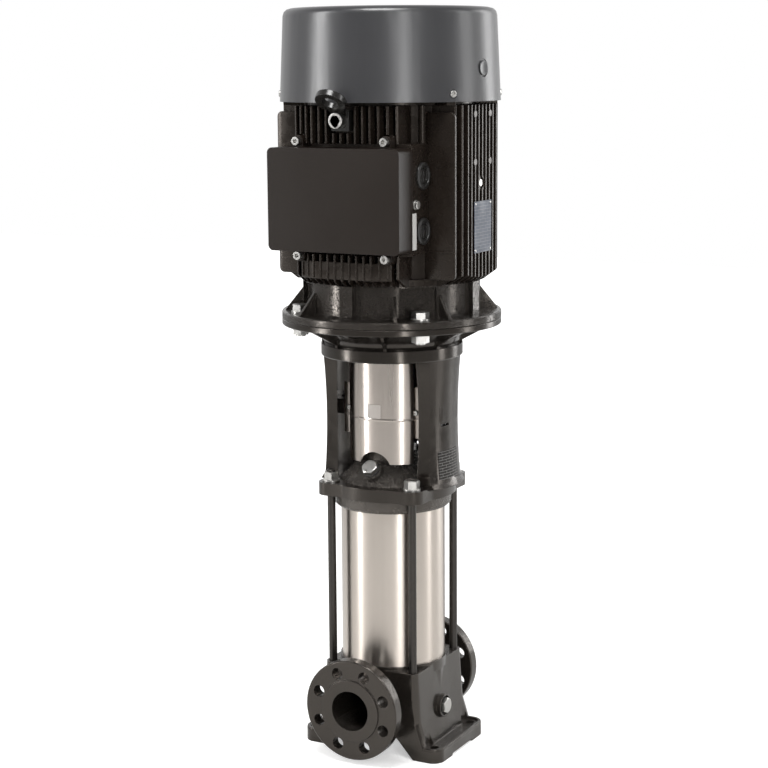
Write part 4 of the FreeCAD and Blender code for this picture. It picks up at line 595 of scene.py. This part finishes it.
class Palette:
    """The finishes of the pump, made once and handed out by name."""

    CASTING = PaintedCasting("cast_paint", (0.0066, 0.0054, 0.0045), roughness=0.16, sand=0.00160, walls=0.75,
                             gloss=0.5, sparse=0.54, swell=0.0012)
    BASE = PaintedCasting("base_paint", (0.0090, 0.0076, 0.0064), roughness=0.15, sand=0.00120, walls=0.05,
                          gloss=0.6, sparse=0.52, swell=0.0045)
    # The head wears the same cast paint as the other castings, made about three times lighter: painted light
    # standing in for the highlights on its upward faces.
    HEAD_PAINTED_HIGHLIGHT = PaintedCasting("head_paint_painted_highlight", (0.0240, 0.0215, 0.0190), roughness=0.22, sand=0.00220, walls=0.20,
                          gloss=0.7, edge=0.0022, sparse=0.46, swell=0.0015)
    STOOL = PaintedCasting("stool_paint", (0.0070, 0.0058, 0.0049), roughness=0.16, sand=0.00070, walls=0.08,
                           gloss=0.5, sparse=0.56, swell=0.0020)
    MOTOR = PaintedCasting("motor_paint", (0.0085, 0.0062, 0.0048), roughness=0.24, sand=0.00015, gloss=0.30)
    LID = SmoothPaint("lid_paint", (0.0100, 0.0068, 0.0050), roughness=0.36, gloss=0.20)
    COVER = SmoothPaint("cover_paint", (0.023, 0.023, 0.025), roughness=0.31, gloss=0.72)
    LABEL = SmoothPaint("label_film", (0.40, 0.39, 0.375), roughness=0.45, gloss=0.20)
    FILM = SmoothPaint("clear_film", (0.34, 0.31, 0.285), roughness=0.40)
    EYE = SmoothPaint("eye_paint", (0.0085, 0.0078, 0.0070), roughness=0.26)
    # The steels' darker brown colour is partly their own tone and partly painted reflection, standing in for
    # a beige room mirrored in them under the white studio light.
    SLEEVE = BrushedSteel("sleeve_steel_painted_reflection", (0.56, 0.505, 0.455), roughness=0.30)
    GUARD = BrushedSteel("guard_steel_painted_reflection", (0.50, 0.45, 0.41), roughness=0.28)
    BRIGHT = BareMetal("bright_plating", (0.52, 0.51, 0.49), roughness=0.32)
    BLACKED = BareMetal("blackened_steel", (0.060, 0.055, 0.051), roughness=0.40)
    STEEL = BareMetal("plain_steel", (0.50, 0.49, 0.48), roughness=0.35)
    SHEETS = BareMetal("core_sheets", (0.30, 0.30, 0.30), roughness=0.5)
    COPPER = BareMetal("winding_copper", (0.55, 0.22, 0.09), roughness=0.35)
    PLASTIC = Moulded("black_plastic", (0.012, 0.0115, 0.011), roughness=0.34)
    RUBBER = Moulded("rubber", (0.015, 0.015, 0.015), roughness=0.65)
    BOARD = Moulded("terminal_board", (0.30, 0.16, 0.08), roughness=0.5)
    PLATE = PrintedForm("plate_film", film=(0.035, 0.043, 0.062), lines=(0.11, 0.12, 0.14), row=0.0050,
                        field_width=0.017)
    STOOL_PLATE = PrintedForm("stool_plate_film", film=(0.012, 0.011, 0.010), lines=(0.22, 0.21, 0.20),
                              row=0.0044, field_width=0.019, line=0.0003)

    def __init__(self) -> None:
        """Starts with nothing made."""
        self.made: dict[str, bpy.types.Material] = {}

    def get(self, finish: Finish) -> bpy.types.Material:
        """Builds a finish's material the first time, and finds it after that.

        Args:
            finish: The finish.

        Returns:
            Its material.
        """
        if finish.name not in self.made:
            self.made[finish.name] = finish.material()
        return self.made[finish.name]

    def dress(self, thing: bpy.types.Object, finish: Finish) -> None:
        """Gives an object one finish all over.

        Args:
            thing: A CAD node or a new piece.
            finish: Its finish.
        """
        if not thing.material_slots:
            thing.data.materials.append(None)
        for spot in thing.material_slots:
            spot.material = self.get(finish)

    def fit(self, piece: bpy.types.Object, finish: Finish) -> None:
        """Gives a new piece its finish and lets it ride on the fixed body."""
        self.dress(piece, finish)
        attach(piece, BODY_FIXED)


@dataclass
class CarriedNodes:
    """The finishes of the CAD nodes, which their reworked copies take over."""

    palette: Palette
    finishes: dict[str, Finish] = field(default_factory=lambda: {
        "base_casting": Palette.BASE,
        "pump_head": Palette.HEAD_PAINTED_HIGHLIGHT,
        "motor_stool": Palette.STOOL,
        "drive_end_shield": Palette.CASTING,
        "stator_housing": Palette.MOTOR,
        "fan_end_shield": Palette.MOTOR,
        "terminal_cover": Palette.LID,
        "fan_cover": Palette.COVER,
        "outer_sleeve": Palette.SLEEVE,
        "guard_front": Palette.GUARD,
        "guard_rear": Palette.GUARD,
        "stay_bolts": Palette.BLACKED,
        "lifting_eye": Palette.EYE,
        "lifting_eye_screw": Palette.BRIGHT,
        "cable_plugs": Palette.PLASTIC,
        "cooling_fan": Palette.PLASTIC,
        "plug_gaskets": Palette.RUBBER,
        "sleeve_o_rings": Palette.RUBBER,
        "seal_head": Palette.RUBBER,
        "terminal_block": Palette.BOARD,
        "stator_core": Palette.SHEETS,
        "rotor_core": Palette.SHEETS,
        "stator_windings": Palette.COPPER,
        "motor_nameplate": Palette.PLATE,
        "pump_nameplate": Palette.STOOL_PLATE,
        "coupling_half_front": Palette.SHEETS,
        "coupling_half_rear": Palette.SHEETS,
    })
    bright: tuple[str, ...] = (
        "drain_plug", "priming_plug", "stay_bolt_washers", "stay_bolt_nuts", "guard_screws", "flange_bolts",
        "flange_nuts", "fan_cover_screws", "terminal_cover_screws", "earth_screws", "coupling_screws",
        "coupling_pin", "bearing_outer_rings", "bearing_inner_rings", "bearing_balls",
    )

    def build(self) -> None:
        """Dresses every CAD node; what is not listed is plain steel inside the pump."""
        for name, node in frame["nodes"].items():
            finish = Palette.BRIGHT if name in self.bright else self.finishes.get(name, Palette.STEEL)
            self.palette.dress(node, finish)
        LOG.info("dressed %d CAD nodes", len(frame["nodes"]))


@dataclass
class RoundedSkins:
    """Copies of the castings, sheets and fasteners with merged faces, eased edges and smooth rounds."""

    sharp: float = 38.0
    flat: float = 0.5
    bridge_reach: float = 106.35
    bridge_levels: Span = (544.0, 570.0)
    trim_wall: float = 8.0
    facets: int = 256
    room_reach: Span = (129.5, 200.0)
    room_half: float = 30.0
    room_levels: Span = (717.05, 765.0)
    room_turns: tuple[int, ...] = (45, 135, 225, 315)
    widths: dict[str, float] = field(default_factory=lambda: {
        "base_casting": 1.6,
        "pump_head": 1.4,
        "motor_stool": 1.4,
        "drive_end_shield": 1.4,
        "stator_housing": 0.8,
        "fan_end_shield": 0.8,
        "terminal_cover": 1.6,
        "fan_cover": 0.5,
        "outer_sleeve": 0.25,
        "lifting_eye": 1.0,
        "lifting_eye_screw": 0.5,
        "stay_bolts": 0.6,
        "stay_bolt_nuts": 0.5,
        "stay_bolt_washers": 0.3,
        "flange_bolts": 0.5,
        "flange_nuts": 0.5,
        "priming_plug": 0.5,
        "drain_plug": 0.5,
        "cable_plugs": 0.5,
        "terminal_cover_screws": 0.4,
        "fan_cover_screws": 0.3,
        "guard_screws": 0.3,
        "earth_screws": 0.3,
    })

    def build(self) -> None:
        """Makes every skin and lets it stand for its node."""
        for name, width in self.widths.items():
            skin = self.skin(name, width)
            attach(skin, body_of(frame["nodes"][name])[0])
            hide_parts(name)
        LOG.info("rounded %d pieces", len(self.widths))

    def skin(self, name: str, width: float) -> bpy.types.Object:
        """Makes one skin.

        Args:
            name: The CAD node.
            width: Width of its eased edges in millimetres.

        Returns:
            The new piece, at the same place.
        """
        node = frame["nodes"][name]
        skin = bpy.data.objects.new(f"{name}_skin", node.data.copy())
        bpy.context.scene.collection.objects.link(skin)
        select_only(skin)
        bpy.ops.object.mode_set(mode="EDIT")
        bpy.ops.mesh.select_all(action="SELECT")
        bpy.ops.mesh.customdata_custom_splitnormals_clear()
        bpy.ops.mesh.remove_doubles(threshold=MERGE)
        bpy.ops.mesh.dissolve_limited(angle_limit=math.radians(self.flat))
        bpy.ops.object.mode_set(mode="OBJECT")
        if name == "drive_end_shield":
            self.open_rooms(skin)
        if name == "motor_stool":
            self.trim_bridges(skin)
        ease_edges(skin, width, self.sharp)
        even = skin.modifiers.new("even", "WEIGHTED_NORMAL")
        even.keep_sharp = True
        bpy.ops.object.modifier_apply(modifier="even")
        return skin

    def trim_bridges(self, stool: bpy.types.Object) -> None:
        """Trims the guard bridges flush with the round outside of the pillars.

        Args:
            stool: The stool's copy, which stays the active object.
        """
        ring = round_wall("bridge_trim", self.bridge_reach, self.bridge_levels, self.facets)
        thicken(ring, self.trim_wall, Growth.OUTWARD)
        subtract(stool, ring)

    def open_rooms(self, shield: bpy.types.Object) -> None:
        """Gives the rooms over the four flange bolts their flat back walls.

        Args:
            shield: The shield's copy, which stays the active object.
        """
        (near, far), (low, high) = self.room_reach, self.room_levels
        for turn in self.room_turns:
            room = block("bolt_room", (near / 2 + far / 2, 0, low / 2 + high / 2),
                         (far - near, 2 * self.room_half, high - low))
            room.data.transform(Matrix.Rotation(math.radians(turn), 4, "Z"))
            subtract(shield, room)


@dataclass
class HousingTrim:
    """Cast skirts and corner fins on the motor housing, and the round cap in the fan cover."""

    palette: Palette
    skirt_radius: float = 166.5
    skirt_flat: float = 159.0
    skirt_wall: float = 8.0
    skirt_half: float = 79.0
    skirt_levels: Span = (779.0, 806.0)
    skirt_facets: int = 180
    fin_low: Point = (105.0, -86.8, 777.0)
    fin_high: Point = (155.0, -80.2, 1030.0)
    fin_corner: float = 8.0
    ledge_low: Point = (105.0, -88.6, 819.0)
    ledge_high: Point = (154.0, -84.0, 822.0)
    soft_edge: float = 1.0
    cap_radius: float = 11.0
    cap_height: float = 3.0
    cap_rim: float = 4.2
    cap_dish: float = 1.2
    cap_seat: float = 169.2
    cap_turn: float = -6.3
    cap_level: float = 1094.8
    cap_facets: int = 48

    def build(self) -> None:
        """Makes the skirts, the fins with their ledges, and the cap."""
        self.skirts()
        self.corner_pieces("corner_fin", self.fin_low, self.fin_high, self.fin_corner)
        self.corner_pieces("corner_ledge", self.ledge_low, self.ledge_high)
        self.cap()
        LOG.info("housing trim in place")

    def skirts(self) -> None:
        """Makes the curved wall across the lower ends of the front fins, and its copy at the back."""
        front = round_wall("fin_skirt_front", self.skirt_radius, self.skirt_levels, self.skirt_facets)
        flat_y = -self.skirt_flat * MM
        bpy.ops.object.mode_set(mode="EDIT")
        for side in (-1, 1):
            divide((side * self.skirt_half * MM, 0, 0), (side, 0, 0), drop=True)
        divide((0, 0, 0), (0, 1, 0), drop=True)
        divide((0, flat_y, 0), (0, 1, 0))
        bpy.ops.mesh.select_all(action="DESELECT")
        mesh = bmesh.from_edit_mesh(front.data)
        for vert in mesh.verts:
            vert.select = vert.co.y < flat_y
        bmesh.update_edit_mesh(front.data)
        bpy.ops.transform.resize(value=(1, 0, 1), orient_type="GLOBAL", center_override=(0, flat_y, 0))
        bpy.ops.object.mode_set(mode="OBJECT")
        thicken(front, self.skirt_wall, Growth.INWARD)
        ease_edges(front, self.soft_edge)
        back = copy_of(front, "fin_skirt_back", Matrix.Rotation(math.pi, 4, "Z"))
        for skirt in (front, back):
            self.palette.fit(skirt, Palette.MOTOR)

    def corner_pieces(self, name: str, low: Point, high: Point, corner: float = 0.0) -> None:
        """Makes a slab beside the terminal box, and its copy on the other side.

        Args:
            name: The pieces' name, before _right and _left.
            low: Lowest corner of the right one, in millimetres.
            high: Highest corner of the right one, in millimetres.
            corner: Radius of its two outer corners, in millimetres.
        """
        start, end = Vector(low), Vector(high)
        right = block(f"{name}_right", (start + end) / 2, end - start)
        if corner:
            outer = [edge for edge in right.data.edges if runs_along(right.data, edge, Axis.BACK)
                     and right.data.vertices[edge.vertices[0]].co.x > (end.x - 1) * MM]
            round_edges(right, outer, corner, segments=5)
        ease_edges(right, self.soft_edge)
        left = copy_of(right, f"{name}_left", Matrix.Scale(-1.0, 4, Axis.RIGHT.value))
        left.data.flip_normals()
        for slab in (right, left):
            self.palette.fit(slab, Palette.MOTOR)

    def cap(self) -> None:
        """Makes the cap: a low disc with a raised round rim, set on its flat seat."""
        bpy.ops.object.select_all(action="DESELECT")
        bpy.ops.mesh.primitive_cylinder_add(vertices=self.cap_facets, radius=self.cap_radius * MM,
                                            depth=self.cap_height * MM,
                                            location=(0, 0, self.cap_height * MM / 2))
        cap = finish_piece("cover_cap")
        top = max(cap.data.polygons, key=lambda face: face.center.z).index
        bpy.ops.object.mode_set(mode="EDIT")
        bpy.ops.mesh.select_mode(type="FACE")
        bpy.ops.mesh.select_all(action="DESELECT")
        bpy.ops.object.mode_set(mode="OBJECT")
        cap.data.polygons[top].select = True
        bpy.ops.object.mode_set(mode="EDIT")
        bpy.ops.mesh.inset(thickness=self.cap_rim * MM)
        bpy.ops.transform.translate(value=(0, 0, -self.cap_dish * MM))
        bpy.ops.object.mode_set(mode="OBJECT")
        ease_edges(cap, self.soft_edge)
        seat = Matrix.Translation((self.cap_seat * MM, 0, 0)) @ Matrix.Rotation(math.pi / 2, 4, "Y")
        turn = Matrix.Rotation(math.radians(self.cap_turn), 4, "Z")
        cap.data.transform(Matrix.Translation((0, 0, self.cap_level * MM)) @ turn @ seat)
        self.palette.fit(cap, Palette.COVER)


@dataclass
class PlugSlots:
    """The moulded ring and the coin slot's bar on each blanking plug of the terminal box."""

    palette: Palette
    face: float = 113.2
    middle_y: float = -107.5
    levels: Span = (853.0, 936.0)
    ring_radius: float = 11.0
    ring_wire: float = 0.9
    ring_facets: int = 48
    wire_facets: int = 10
    bar: Point = (1.8, 3.2, 17.0)
    bar_edge: float = 0.5

    def build(self) -> None:
        """Makes the lower plug's ring and bar, and their copies on the upper plug."""
        low, high = self.levels
        centre = (self.face, self.middle_y, low)
        bpy.ops.object.select_all(action="DESELECT")
        bpy.ops.mesh.primitive_torus_add(major_radius=self.ring_radius * MM, minor_radius=self.ring_wire * MM,
                                         major_segments=self.ring_facets, minor_segments=self.wire_facets,
                                         location=Vector(centre) * MM, rotation=(0, math.radians(90), 0))
        ring = finish_piece("plug_ring_low")
        bpy.ops.object.shade_smooth()
        bar = block("plug_bar_low", centre, self.bar)
        round_edges(bar, bar.data.edges, self.bar_edge, segments=2)
        lift = Matrix.Translation((0, 0, (high - low) * MM))
        for piece, name in ((ring, "plug_ring_high"), (bar, "plug_bar_high")):
            twin = copy_of(piece, name, lift)
            for mark in (piece, twin):
                self.palette.fit(mark, Palette.EYE)


@dataclass
class FootRims:
    """The raised cast rim round the top of each foot."""

    palette: Palette
    outside: Span = (251.4, 171.4)
    corner: float = 19.7
    rim: float = 5.5
    levels: Span = (18.4, 22.8)
    gap: Span = (132.0, 191.4)
    over: float = 1.0
    soft_edge: float = 0.9

    def build(self) -> None:
        """Makes both rims as one piece: a rounded frame with its middle stretch cut away."""
        low, high = self.levels
        inside = tuple(length - 2 * self.rim for length in self.outside)
        beyond = (low - self.over, high + self.over)
        rims = self.slab("foot_rims", self.outside, self.levels, self.corner)
        subtract(rims, self.slab("rim_inside", inside, beyond, self.corner - self.rim))
        subtract(rims, self.slab("rim_gap", self.gap, beyond))
        ease_edges(rims, self.soft_edge)
        self.palette.fit(rims, Palette.BASE)
        LOG.info("foot rims in place")

    def slab(self, name: str, size: Span, levels: Span, corner: float = 0.0) -> bpy.types.Object:
        """Makes a flat slab about the Z axis.

        Args:
            name: Its name.
            size: Its length and width in millimetres.
            levels: Its lowest and highest level in millimetres.
            corner: Radius of its upright corners in millimetres.

        Returns:
            The slab.
        """
        low, high = levels
        slab = block(name, (0, 0, (low + high) / 2), (*size, high - low))
        if corner:
            upright = [edge for edge in slab.data.edges if runs_along(slab.data, edge, Axis.UP)]
            round_edges(slab, upright, corner, segments=8)
        return slab


@dataclass
class CouplingGuards:
    """The two bent sheets in front of and behind the coupling, each held by two ears."""

    palette: Palette
    bend_radius: float = 75.7
    bend_behind: float = 11.6
    half_width: float = 58.0
    sheet: float = 1.2
    levels: Span = (475.0, 650.0)
    facets: int = 256
    ear_plane: float = 31.5
    ear_reach: float = 70.0
    ear_bend: float = 0.8
    ear_levels: Span = (516.0, 598.0)
    arch_radius: float = 28.0
    arch_level: float = 466.0
    arch_middle: float = -75.0
    arch_length: float = 60.0
    arch_facets: int = 96
    bead_level: float = 546.4
    bead_half: float = 2.2
    bead_proud: float = 0.9
    slack: float = 0.1
    sharp: float = 12.0

    def build(self) -> None:
        """Models the front guard and turns a copy of it to the back."""
        front = self.guard()
        back = copy_of(front, "rear_guard_sheet", Matrix.Rotation(math.pi, 4, "Z"))
        for sheet, node in ((front, "guard_front"), (back, "guard_rear")):
            self.palette.fit(sheet, Palette.GUARD)
            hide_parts(node)
        LOG.info("guards bent")

    def guard(self) -> bpy.types.Object:
        """Makes the front guard: a round wall cut to width, with its bead, its ears and the arch below.

        Returns:
            The guard.
        """
        guard = round_wall("front_guard_sheet", self.bend_radius, self.levels, self.facets, self.bend_behind)
        bpy.ops.object.mode_set(mode="EDIT")
        for side in (-1, 1):
            divide((side * self.half_width * MM, 0, 0), (side, 0, 0), drop=True)
        divide((0, self.bend_behind * MM, 0), (0, 1, 0), drop=True)
        for level in (self.bead_level - self.bead_half, self.bead_level + self.bead_half, self.bead_level):
            divide((0, 0, level * MM), Axis.UP.value)
        grow = (self.bend_radius + self.bead_proud) / self.bend_radius
        bpy.ops.transform.resize(value=(grow, grow, 1), orient_type="GLOBAL",
                                 center_override=(0, self.bend_behind * MM, self.bead_level * MM))
        for side in (-1, 1):
            self.ear(guard, side)
        bpy.ops.mesh.select_all(action="SELECT")
        bpy.ops.mesh.remove_doubles(threshold=MERGE)
        bpy.ops.mesh.normals_make_consistent(inside=False)
        bpy.ops.object.mode_set(mode="OBJECT")
        thicken(guard, self.sheet, Growth.INWARD)
        self.arch(guard)
        select_only(guard)
        bpy.ops.object.shade_smooth_by_angle(angle=math.radians(self.sharp))
        return guard

    def ear(self, guard: bpy.types.Object, side: int) -> None:
        """Draws one ear out of the side edge of the sheet, between two levels.

        Args:
            guard: The sheet, in edit mode.
            side: -1 for the left ear and 1 for the right one.
        """
        low, high = self.ear_levels
        for level in self.ear_levels:
            divide((0, 0, level * MM), Axis.UP.value)
        bpy.ops.mesh.select_all(action="DESELECT")
        mesh = bmesh.from_edit_mesh(guard.data)
        for edge in mesh.edges:
            ends = [vert.co / MM for vert in edge.verts]
            upright = abs(ends[0].z - ends[1].z) > self.slack
            edge.select = upright and all(
                side * end.x > self.half_width - self.slack / 2
                and low - self.slack <= end.z <= high + self.slack for end in ends)
        bmesh.update_edit_mesh(guard.data)
        edge_y = self.bend_behind - math.sqrt(self.bend_radius ** 2 - self.half_width ** 2)
        back = -self.ear_plane - self.sheet - edge_y
        out = self.ear_reach - self.half_width - self.ear_bend
        for step in ((side * self.ear_bend, back, 0), (side * out, 0, 0)):
            bpy.ops.mesh.extrude_region_move(TRANSFORM_OT_translate={"value": Vector(step) * MM})

    def arch(self, guard: bpy.types.Object) -> None:
        """Cuts the round opening over the priming plug.

        Args:
            guard: The sheet with its thickness.
        """
        bpy.ops.object.select_all(action="DESELECT")
        bpy.ops.mesh.primitive_cylinder_add(vertices=self.arch_facets, radius=self.arch_radius * MM,
                                            depth=self.arch_length * MM,
                                            location=(0, self.arch_middle * MM, self.arch_level * MM),
                                            rotation=(math.radians(90), 0, 0))
        subtract(guard, bpy.context.object)


@dataclass
class SlotBlank:
    """The black plastic wall seen inside the slot of the right pillar."""

    palette: Palette
    middle: Point = (98.0, -18.0, 539.5)
    size: Point = (3.0, 24.0, 12.0)
    edge: float = 0.8

    def build(self) -> None:
        """Makes the wall with eased edges."""
        wall = block("slot_wall", self.middle, self.size)
        round_edges(wall, wall.data.edges, self.edge, segments=2)
        self.palette.fit(wall, Palette.PLASTIC)


@dataclass
class BlankLabels:
    """The bare white strip on the terminal cover, the bare patch on the front guard and the plate rivets."""

    palette: Palette
    cover_side: float = 113.0
    strip_y: Span = (-144.5, -131.5)
    strip_levels: Span = (827.0, 882.0)
    strip_corner: float = 1.2
    film: float = 0.4
    guard_behind: float = CouplingGuards.bend_behind
    patch_radius: float = CouplingGuards.bend_radius + 0.1
    patch_facets: int = 180
    patch_turns: Span = (-97.5, -79.9)
    patch_levels: Span = (548.5, 571.0)
    rivet_radius: float = 1.9
    rivet_height: float = 1.6
    rivet_dome: float = 0.7
    rivet_facets: int = 20
    rivet_inset: float = 3.6

    def build(self) -> None:
        """Makes the strip, the patch and the rivets."""
        self.strip()
        self.patch()
        self.rivets()
        LOG.info("labels and rivets in place")

    def strip(self) -> None:
        """Makes the strip: a thin slab with rounded corners, flat on the side of the cover."""
        (near, far), (low, high) = self.strip_y, self.strip_levels
        middle = (self.cover_side + self.film / 2, (near + far) / 2, (low + high) / 2)
        strip = block("cover_strip", middle, (self.film, far - near, high - low))
        corners = [edge for edge in strip.data.edges if runs_along(strip.data, edge, Axis.RIGHT)]
        round_edges(strip, corners, self.strip_corner, segments=4)
        self.palette.fit(strip, Palette.LABEL)

    def patch(self) -> None:
        """Makes the patch: part of a round wall, cut out by two planes and given its thickness."""
        patch = round_wall("guard_patch", self.patch_radius, self.patch_levels, self.patch_facets,
                           self.guard_behind)
        bpy.ops.object.mode_set(mode="EDIT")
        for turn, sign in zip(self.patch_turns, (-1, 1)):
            angle = math.radians(turn)
            across = Vector((-math.sin(angle), math.cos(angle), 0)) * sign
            divide((0, self.guard_behind * MM, 0), across, drop=True)
        bpy.ops.object.mode_set(mode="OBJECT")
        thicken(patch, self.film, Growth.OUTWARD)
        bpy.ops.object.shade_smooth_by_angle(angle=math.radians(SHARP))
        self.palette.fit(patch, Palette.FILM)

    def rivets(self) -> None:
        """Makes one domed rivet and copies it to the corners of the motor's plate."""
        low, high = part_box("motor_nameplate")
        inset = self.rivet_inset * MM
        spots = [Matrix.Translation((high[0], y, z)) for y in (low[1] + inset, high[1] - inset)
                 for z in (low[2] + inset, high[2] - inset)]
        bpy.ops.object.select_all(action="DESELECT")
        bpy.ops.mesh.primitive_cylinder_add(vertices=self.rivet_facets, radius=self.rivet_radius * MM,
                                            depth=self.rivet_height * MM, location=(0, 0, 0),
                                            rotation=(0, math.radians(90), 0))
        rivet = finish_piece("plate_rivet_1")
        rims = [edge for edge in rivet.data.edges
                if all(rivet.data.vertices[index].co.x > 0 for index in edge.vertices)]
        round_edges(rivet, rims, self.rivet_dome, segments=3)
        bpy.ops.object.shade_smooth_by_angle(angle=math.radians(SHARP))
        twins = [copy_of(rivet, f"plate_rivet_{number}", spots[number - 1]) for number in (2, 3, 4)]
        rivet.data.transform(spots[0])
        for piece in (rivet, *twins):
            self.palette.fit(piece, Palette.BRIGHT)


@dataclass(frozen=True)
class SoftBox:
    """One lamp: its bearing in degrees from +X, its distance, height and size in metres, and its watts."""

    name: str
    bearing: float
    distance: float
    height: float
    size: Span
    power: float

    def hang(self, aim: float) -> None:
        """Adds the lamp to the scene.

        Args:
            aim: The height of the point on the shaft axis that it looks at, in metres.
        """
        data = bpy.data.lights.new(self.name, "AREA")
        data.shape = "RECTANGLE"
        data.size, data.size_y = self.size
        data.energy = self.power
        lamp = bpy.data.objects.new(self.name, data)
        bpy.context.scene.collection.objects.link(lamp)
        angle = math.radians(self.bearing)
        lamp.location = (self.distance * math.cos(angle), self.distance * math.sin(angle), self.height)
        lamp.rotation_euler = (Vector((0, 0, aim)) - lamp.location).to_track_quat("-Z", "Y").to_euler()


@dataclass
class Studio:
    """Floor, world, lamps and camera, with places and sizes in metres and the lens in millimetres."""

    camera_place: Point = (1.37015, -2.56115, 1.10142)
    yaw: float = 28.406
    pitch: float = 9.909
    roll: float = -0.410
    lens: float = 85.84
    sensor: float = 36.0
    floor_size: float = 14.0
    floor_colour: Colour = (0.80, 0.80, 0.79)
    floor_roughness: float = 0.9
    floor_lift: float = 0.45
    floor_fade: Span = (0.6, 2.6)
    daylight: float = 0.32
    backlight: float = 1.0
    backlight_fade: Span = (0.1, 0.8)
    backdrop: Point = (-0.475, 0.88, 0.0)
    aim: float = 0.6
    boxes: tuple[SoftBox, ...] = (
        SoftBox("left_strip", -138.0, 2.4, 1.25, (0.34, 2.4), 44.0),
        SoftBox("right_strip", -48.0, 2.4, 1.25, (0.26, 2.4), 26.0),
        SoftBox("front_side", 60.0, 2.6, 1.25, (0.70, 2.2), 24.0),
        SoftBox("side_strip", 22.0, 2.4, 1.25, (0.40, 2.4), 18.0),
        SoftBox("top", -75.0, 1.2, 3.0, (1.1, 0.7), 50.0),
    )

    def build(self) -> None:
        """Makes the floor, the light and the camera."""
        self.floor()
        self.world()
        for box in self.boxes:
            box.hang(self.aim)
        self.camera()
        bpy.context.scene.view_settings.view_transform = "Standard"

    def floor(self) -> None:
        """Makes the pale floor, which fades to white for the camera away from the pump."""
        bpy.ops.object.select_all(action="DESELECT")
        bpy.ops.mesh.primitive_plane_add(size=self.floor_size, location=(0, 0, 0))
        floor = bpy.context.object
        floor.name = "floor"
        n = Nodes(bpy.data.materials.new("floor_pale"))
        away = n.add("VectorMath", operation="LENGTH", Vector=n.place((1, 1, 1)))
        lift = n.spread(away.outputs["Value"], self.floor_lift, 1.0, *self.floor_fade)
        seen = n.add("LightPath").outputs["Is Camera Ray"]
        n.set(n.shader, "Base_Color", (*self.floor_colour, 1.0))
        n.set(n.shader, "Roughness", self.floor_roughness)
        n.set(n.shader, "Specular_IOR_Level", 0.0)
        n.set(n.shader, "Emission_Color", (1.0, 1.0, 1.0, 1.0))
        n.set(n.shader, "Emission_Strength", n.times(seen, lift))
        floor.data.materials.append(n.owner)

    def world(self) -> None:
        """Makes the surroundings: white to the camera, bright behind the pump and grey elsewhere."""
        world = bpy.data.worlds.new("studio")
        bpy.context.scene.world = world
        n = Nodes(world)
        around = n.add("TexCoord").outputs["Generated"]
        towards = n.add("VectorMath", operation="DOT_PRODUCT", Vector=around)
        towards.inputs[1].default_value = self.backdrop
        lit = n.spread(towards.outputs["Value"], self.daylight, self.backlight, *self.backlight_fade)
        seen = n.add("LightPath").outputs["Is Camera Ray"]
        shown = n.add("Mix", data_type="FLOAT", Factor=seen, A=lit, B=1.0)
        n.set(n.shader, "Color", (1.0, 1.0, 1.0, 1.0))
        n.set(n.shader, "Strength", shown.outputs["Result"])

    def camera(self) -> None:
        """Sets the camera at the angle of the photograph."""
        data = bpy.data.cameras.new("camera")
        data.lens = self.lens
        data.sensor_width = self.sensor
        camera = bpy.data.objects.new("camera", data)
        bpy.context.scene.collection.objects.link(camera)
        turn = Matrix.Rotation(math.radians(self.yaw), 4, "Z")
        tilt = Matrix.Rotation(math.radians(90.0 - self.pitch), 4, "X")
        lean = Matrix.Rotation(math.radians(self.roll), 4, "Z")
        camera.matrix_world = Matrix.Translation(self.camera_place) @ turn @ tilt @ lean
        bpy.context.scene.camera = camera


def main() -> None:
    """Builds the pieces in order."""
    logging.basicConfig(level=logging.INFO, format="%(name)s: %(message)s")
    palette = Palette()
    CarriedNodes(palette).build()
    RoundedSkins().build()
    HousingTrim(palette).build()
    PlugSlots(palette).build()
    FootRims(palette).build()
    CouplingGuards(palette).build()
    SlotBlank(palette).build()
    BlankLabels(palette).build()
    Studio().build()


if __name__ == "__main__":
    main()
